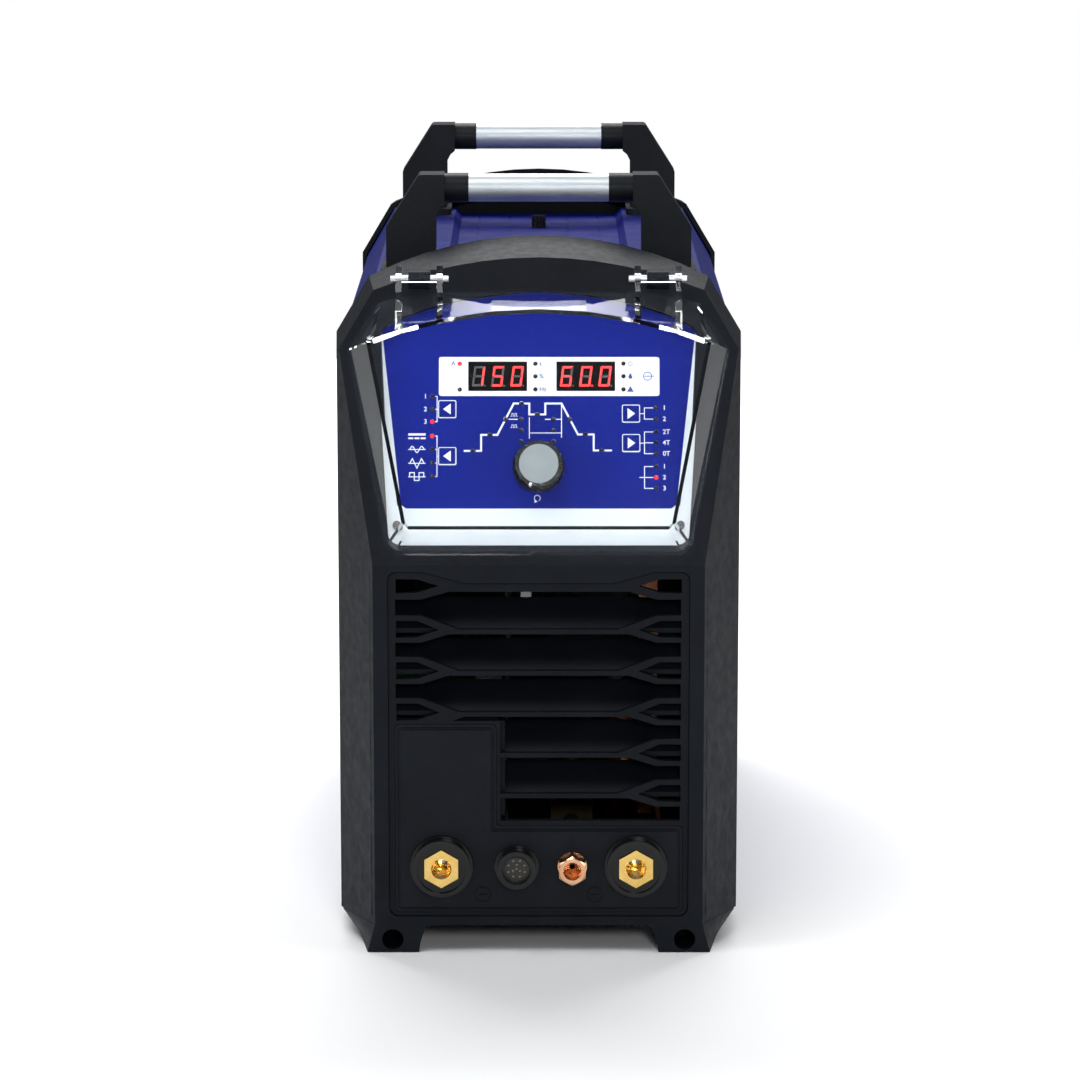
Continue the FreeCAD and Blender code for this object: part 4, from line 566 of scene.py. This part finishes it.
FACE_HW = 105.6
relief = bmesh.new()
ys = [4.0, 17.5, 31.0, 44.0]
zs = [24.0 + 19.0 * k for k in range(13)]
for sgn in (-1, 1):
    for a in range(len(ys) - 1):
        for k in range(len(zs) - 1):
            y0_, y1_, z0_, z1_ = ys[a], ys[a + 1], zs[k], zs[k + 1]
            fade = max(0.15, 1.0 - (k / 12.0) ** 1.5)
            flip = (a + k) % 2
            c4 = [(y0_, z0_), (y1_, z0_), (y1_, z1_), (y0_, z1_)]
            hgt = [0.06, 0.42 * fade, 0.06, 0.30 * fade] if flip else [0.42 * fade, 0.06, 0.30 * fade, 0.06]
            outer_ = [relief.verts.new((sgn * (edge_x(y, z) + h) / 1000, (y + SH) / 1000, z / 1000)) for (y, z), h in zip(c4, hgt)]
            inner_ = [relief.verts.new((sgn * (edge_x(y, z) - 0.5) / 1000, (y + SH) / 1000, z / 1000)) for y, z in c4]
            tri = ((0, 1, 2), (0, 2, 3)) if flip else ((0, 1, 3), (1, 2, 3))
            for t in tri:
                relief.faces.new([outer_[q] for q in t])
            relief.faces.new(inner_[::-1])
            for q in range(4):
                r_ = (q + 1) % 4
                relief.faces.new((outer_[r_], outer_[q], inner_[q], inner_[r_]))
bmesh.ops.recalc_face_normals(relief, faces=relief.faces)
make("side_facet_relief", relief, BLACK, "root")

# ------------------------------------------------------------------ camera, floor, light
e = math.radians(10.9)
target = Vector((0.0, SH / 1000, 0.271))
cam_d = bpy.data.cameras.new("camera")
cam = bpy.data.objects.new("camera", cam_d)
scene.collection.objects.link(cam)
back = Vector((0, -math.cos(e), math.sin(e)))
cam.location = target + back * 2.7
cam.rotation_mode = "QUATERNION"
cam.rotation_quaternion = (-back).to_track_quat("-Z", "Y")
cam_d.sensor_width = 36.0
cam_d.lens = 36.0 * 4259.0 / 1080.0
cam_d.shift_x = 1.3 / 1080.0
cam_d.clip_start, cam_d.clip_end = 0.05, 60.0
scene.camera = cam

bm = bmesh.new()
sw = 14.0
prof = [(-9.0, 0.0), (0.0, 0.0), (2.3, 0.0)]
va = [bm.verts.new((-sw, y, z)) for y, z in prof]
vb = [bm.verts.new((sw, y, z)) for y, z in prof]
for i in range(len(prof) - 1):
    bm.faces.new((va[i], vb[i], vb[i + 1], va[i + 1]))
me = bpy.data.meshes.new("floor")
bm.to_mesh(me)
bm.free()
floor = bpy.data.objects.new("floor", me)
scene.collection.objects.link(floor)
floor.location.z = -0.0004
for f in me.polygons:
    f.use_smooth = True
me.materials.append(surface("floor_paper", (0.90, 0.90, 0.90), (0.92, 0.92, 0.92), (0.6, 0.7), vscale=3, bscale=300, bump=0.02, bdist=0.0002, spec=0.2))


def area(name, loc, aim, size, power, color=(1, 1, 1)):
    d = bpy.data.lights.new(name, "AREA")
    d.shape = "RECTANGLE"
    d.size, d.size_y = size
    d.energy = power
    d.color = color
    o = bpy.data.objects.new(name, d)
    scene.collection.objects.link(o)
    o.location = loc
    v = Vector(aim) - Vector(loc)
    o.rotation_mode = "QUATERNION"
    o.rotation_quaternion = v.to_track_quat("-Z", "Y")
    return o


area("key_top", (-0.6, -1.2, 2.6), (0, -0.1, 0.25), (1.6, 1.0), 34)
area("front_soft", (0.35, -3.3, 1.25), (0, -0.25, 0.25), (0.5, 0.5), 26)
area("side_left", (-2.3, -1.1, 0.9), (0, -0.1, 0.25), (0.5, 1.8), 16, (0.93, 0.97, 1.0))
area("side_right", (2.3, -0.9, 1.0), (0, -0.1, 0.25), (0.5, 1.8), 14, (0.93, 0.97, 1.0))
area("back_top", (0.0, 2.2, 2.8), (0, 1.5, 0.0), (4.5, 1.6), 210)
world = bpy.data.worlds.new("studio")
scene.world = world
world.use_nodes = True
wnt = world.node_tree
bg = wnt.nodes["Background"]
bg.inputs["Color"].default_value = (0.90, 0.95, 1.0, 1)
bg.inputs["Strength"].default_value = 0.09
_wl = wnt.nodes.new("ShaderNodeLightPath")
_wb = wnt.nodes.new("ShaderNodeBackground")
_wb.inputs["Color"].default_value = (1.0, 1.0, 1.0, 1)
_wb.inputs["Strength"].default_value = 1.0
_wm = wnt.nodes.new("ShaderNodeMixShader")
wnt.links.new(_wl.outputs["Is Camera Ray"], _wm.inputs[0])
wnt.links.new(bg.outputs["Background"], _wm.inputs[1])
wnt.links.new(_wb.outputs["Background"], _wm.inputs[2])
wnt.links.new(_wm.outputs["Shader"], wnt.nodes["World Output"].inputs["Surface"])
scene.view_settings.view_transform = "Standard"
scene.view_settings.look = "None"
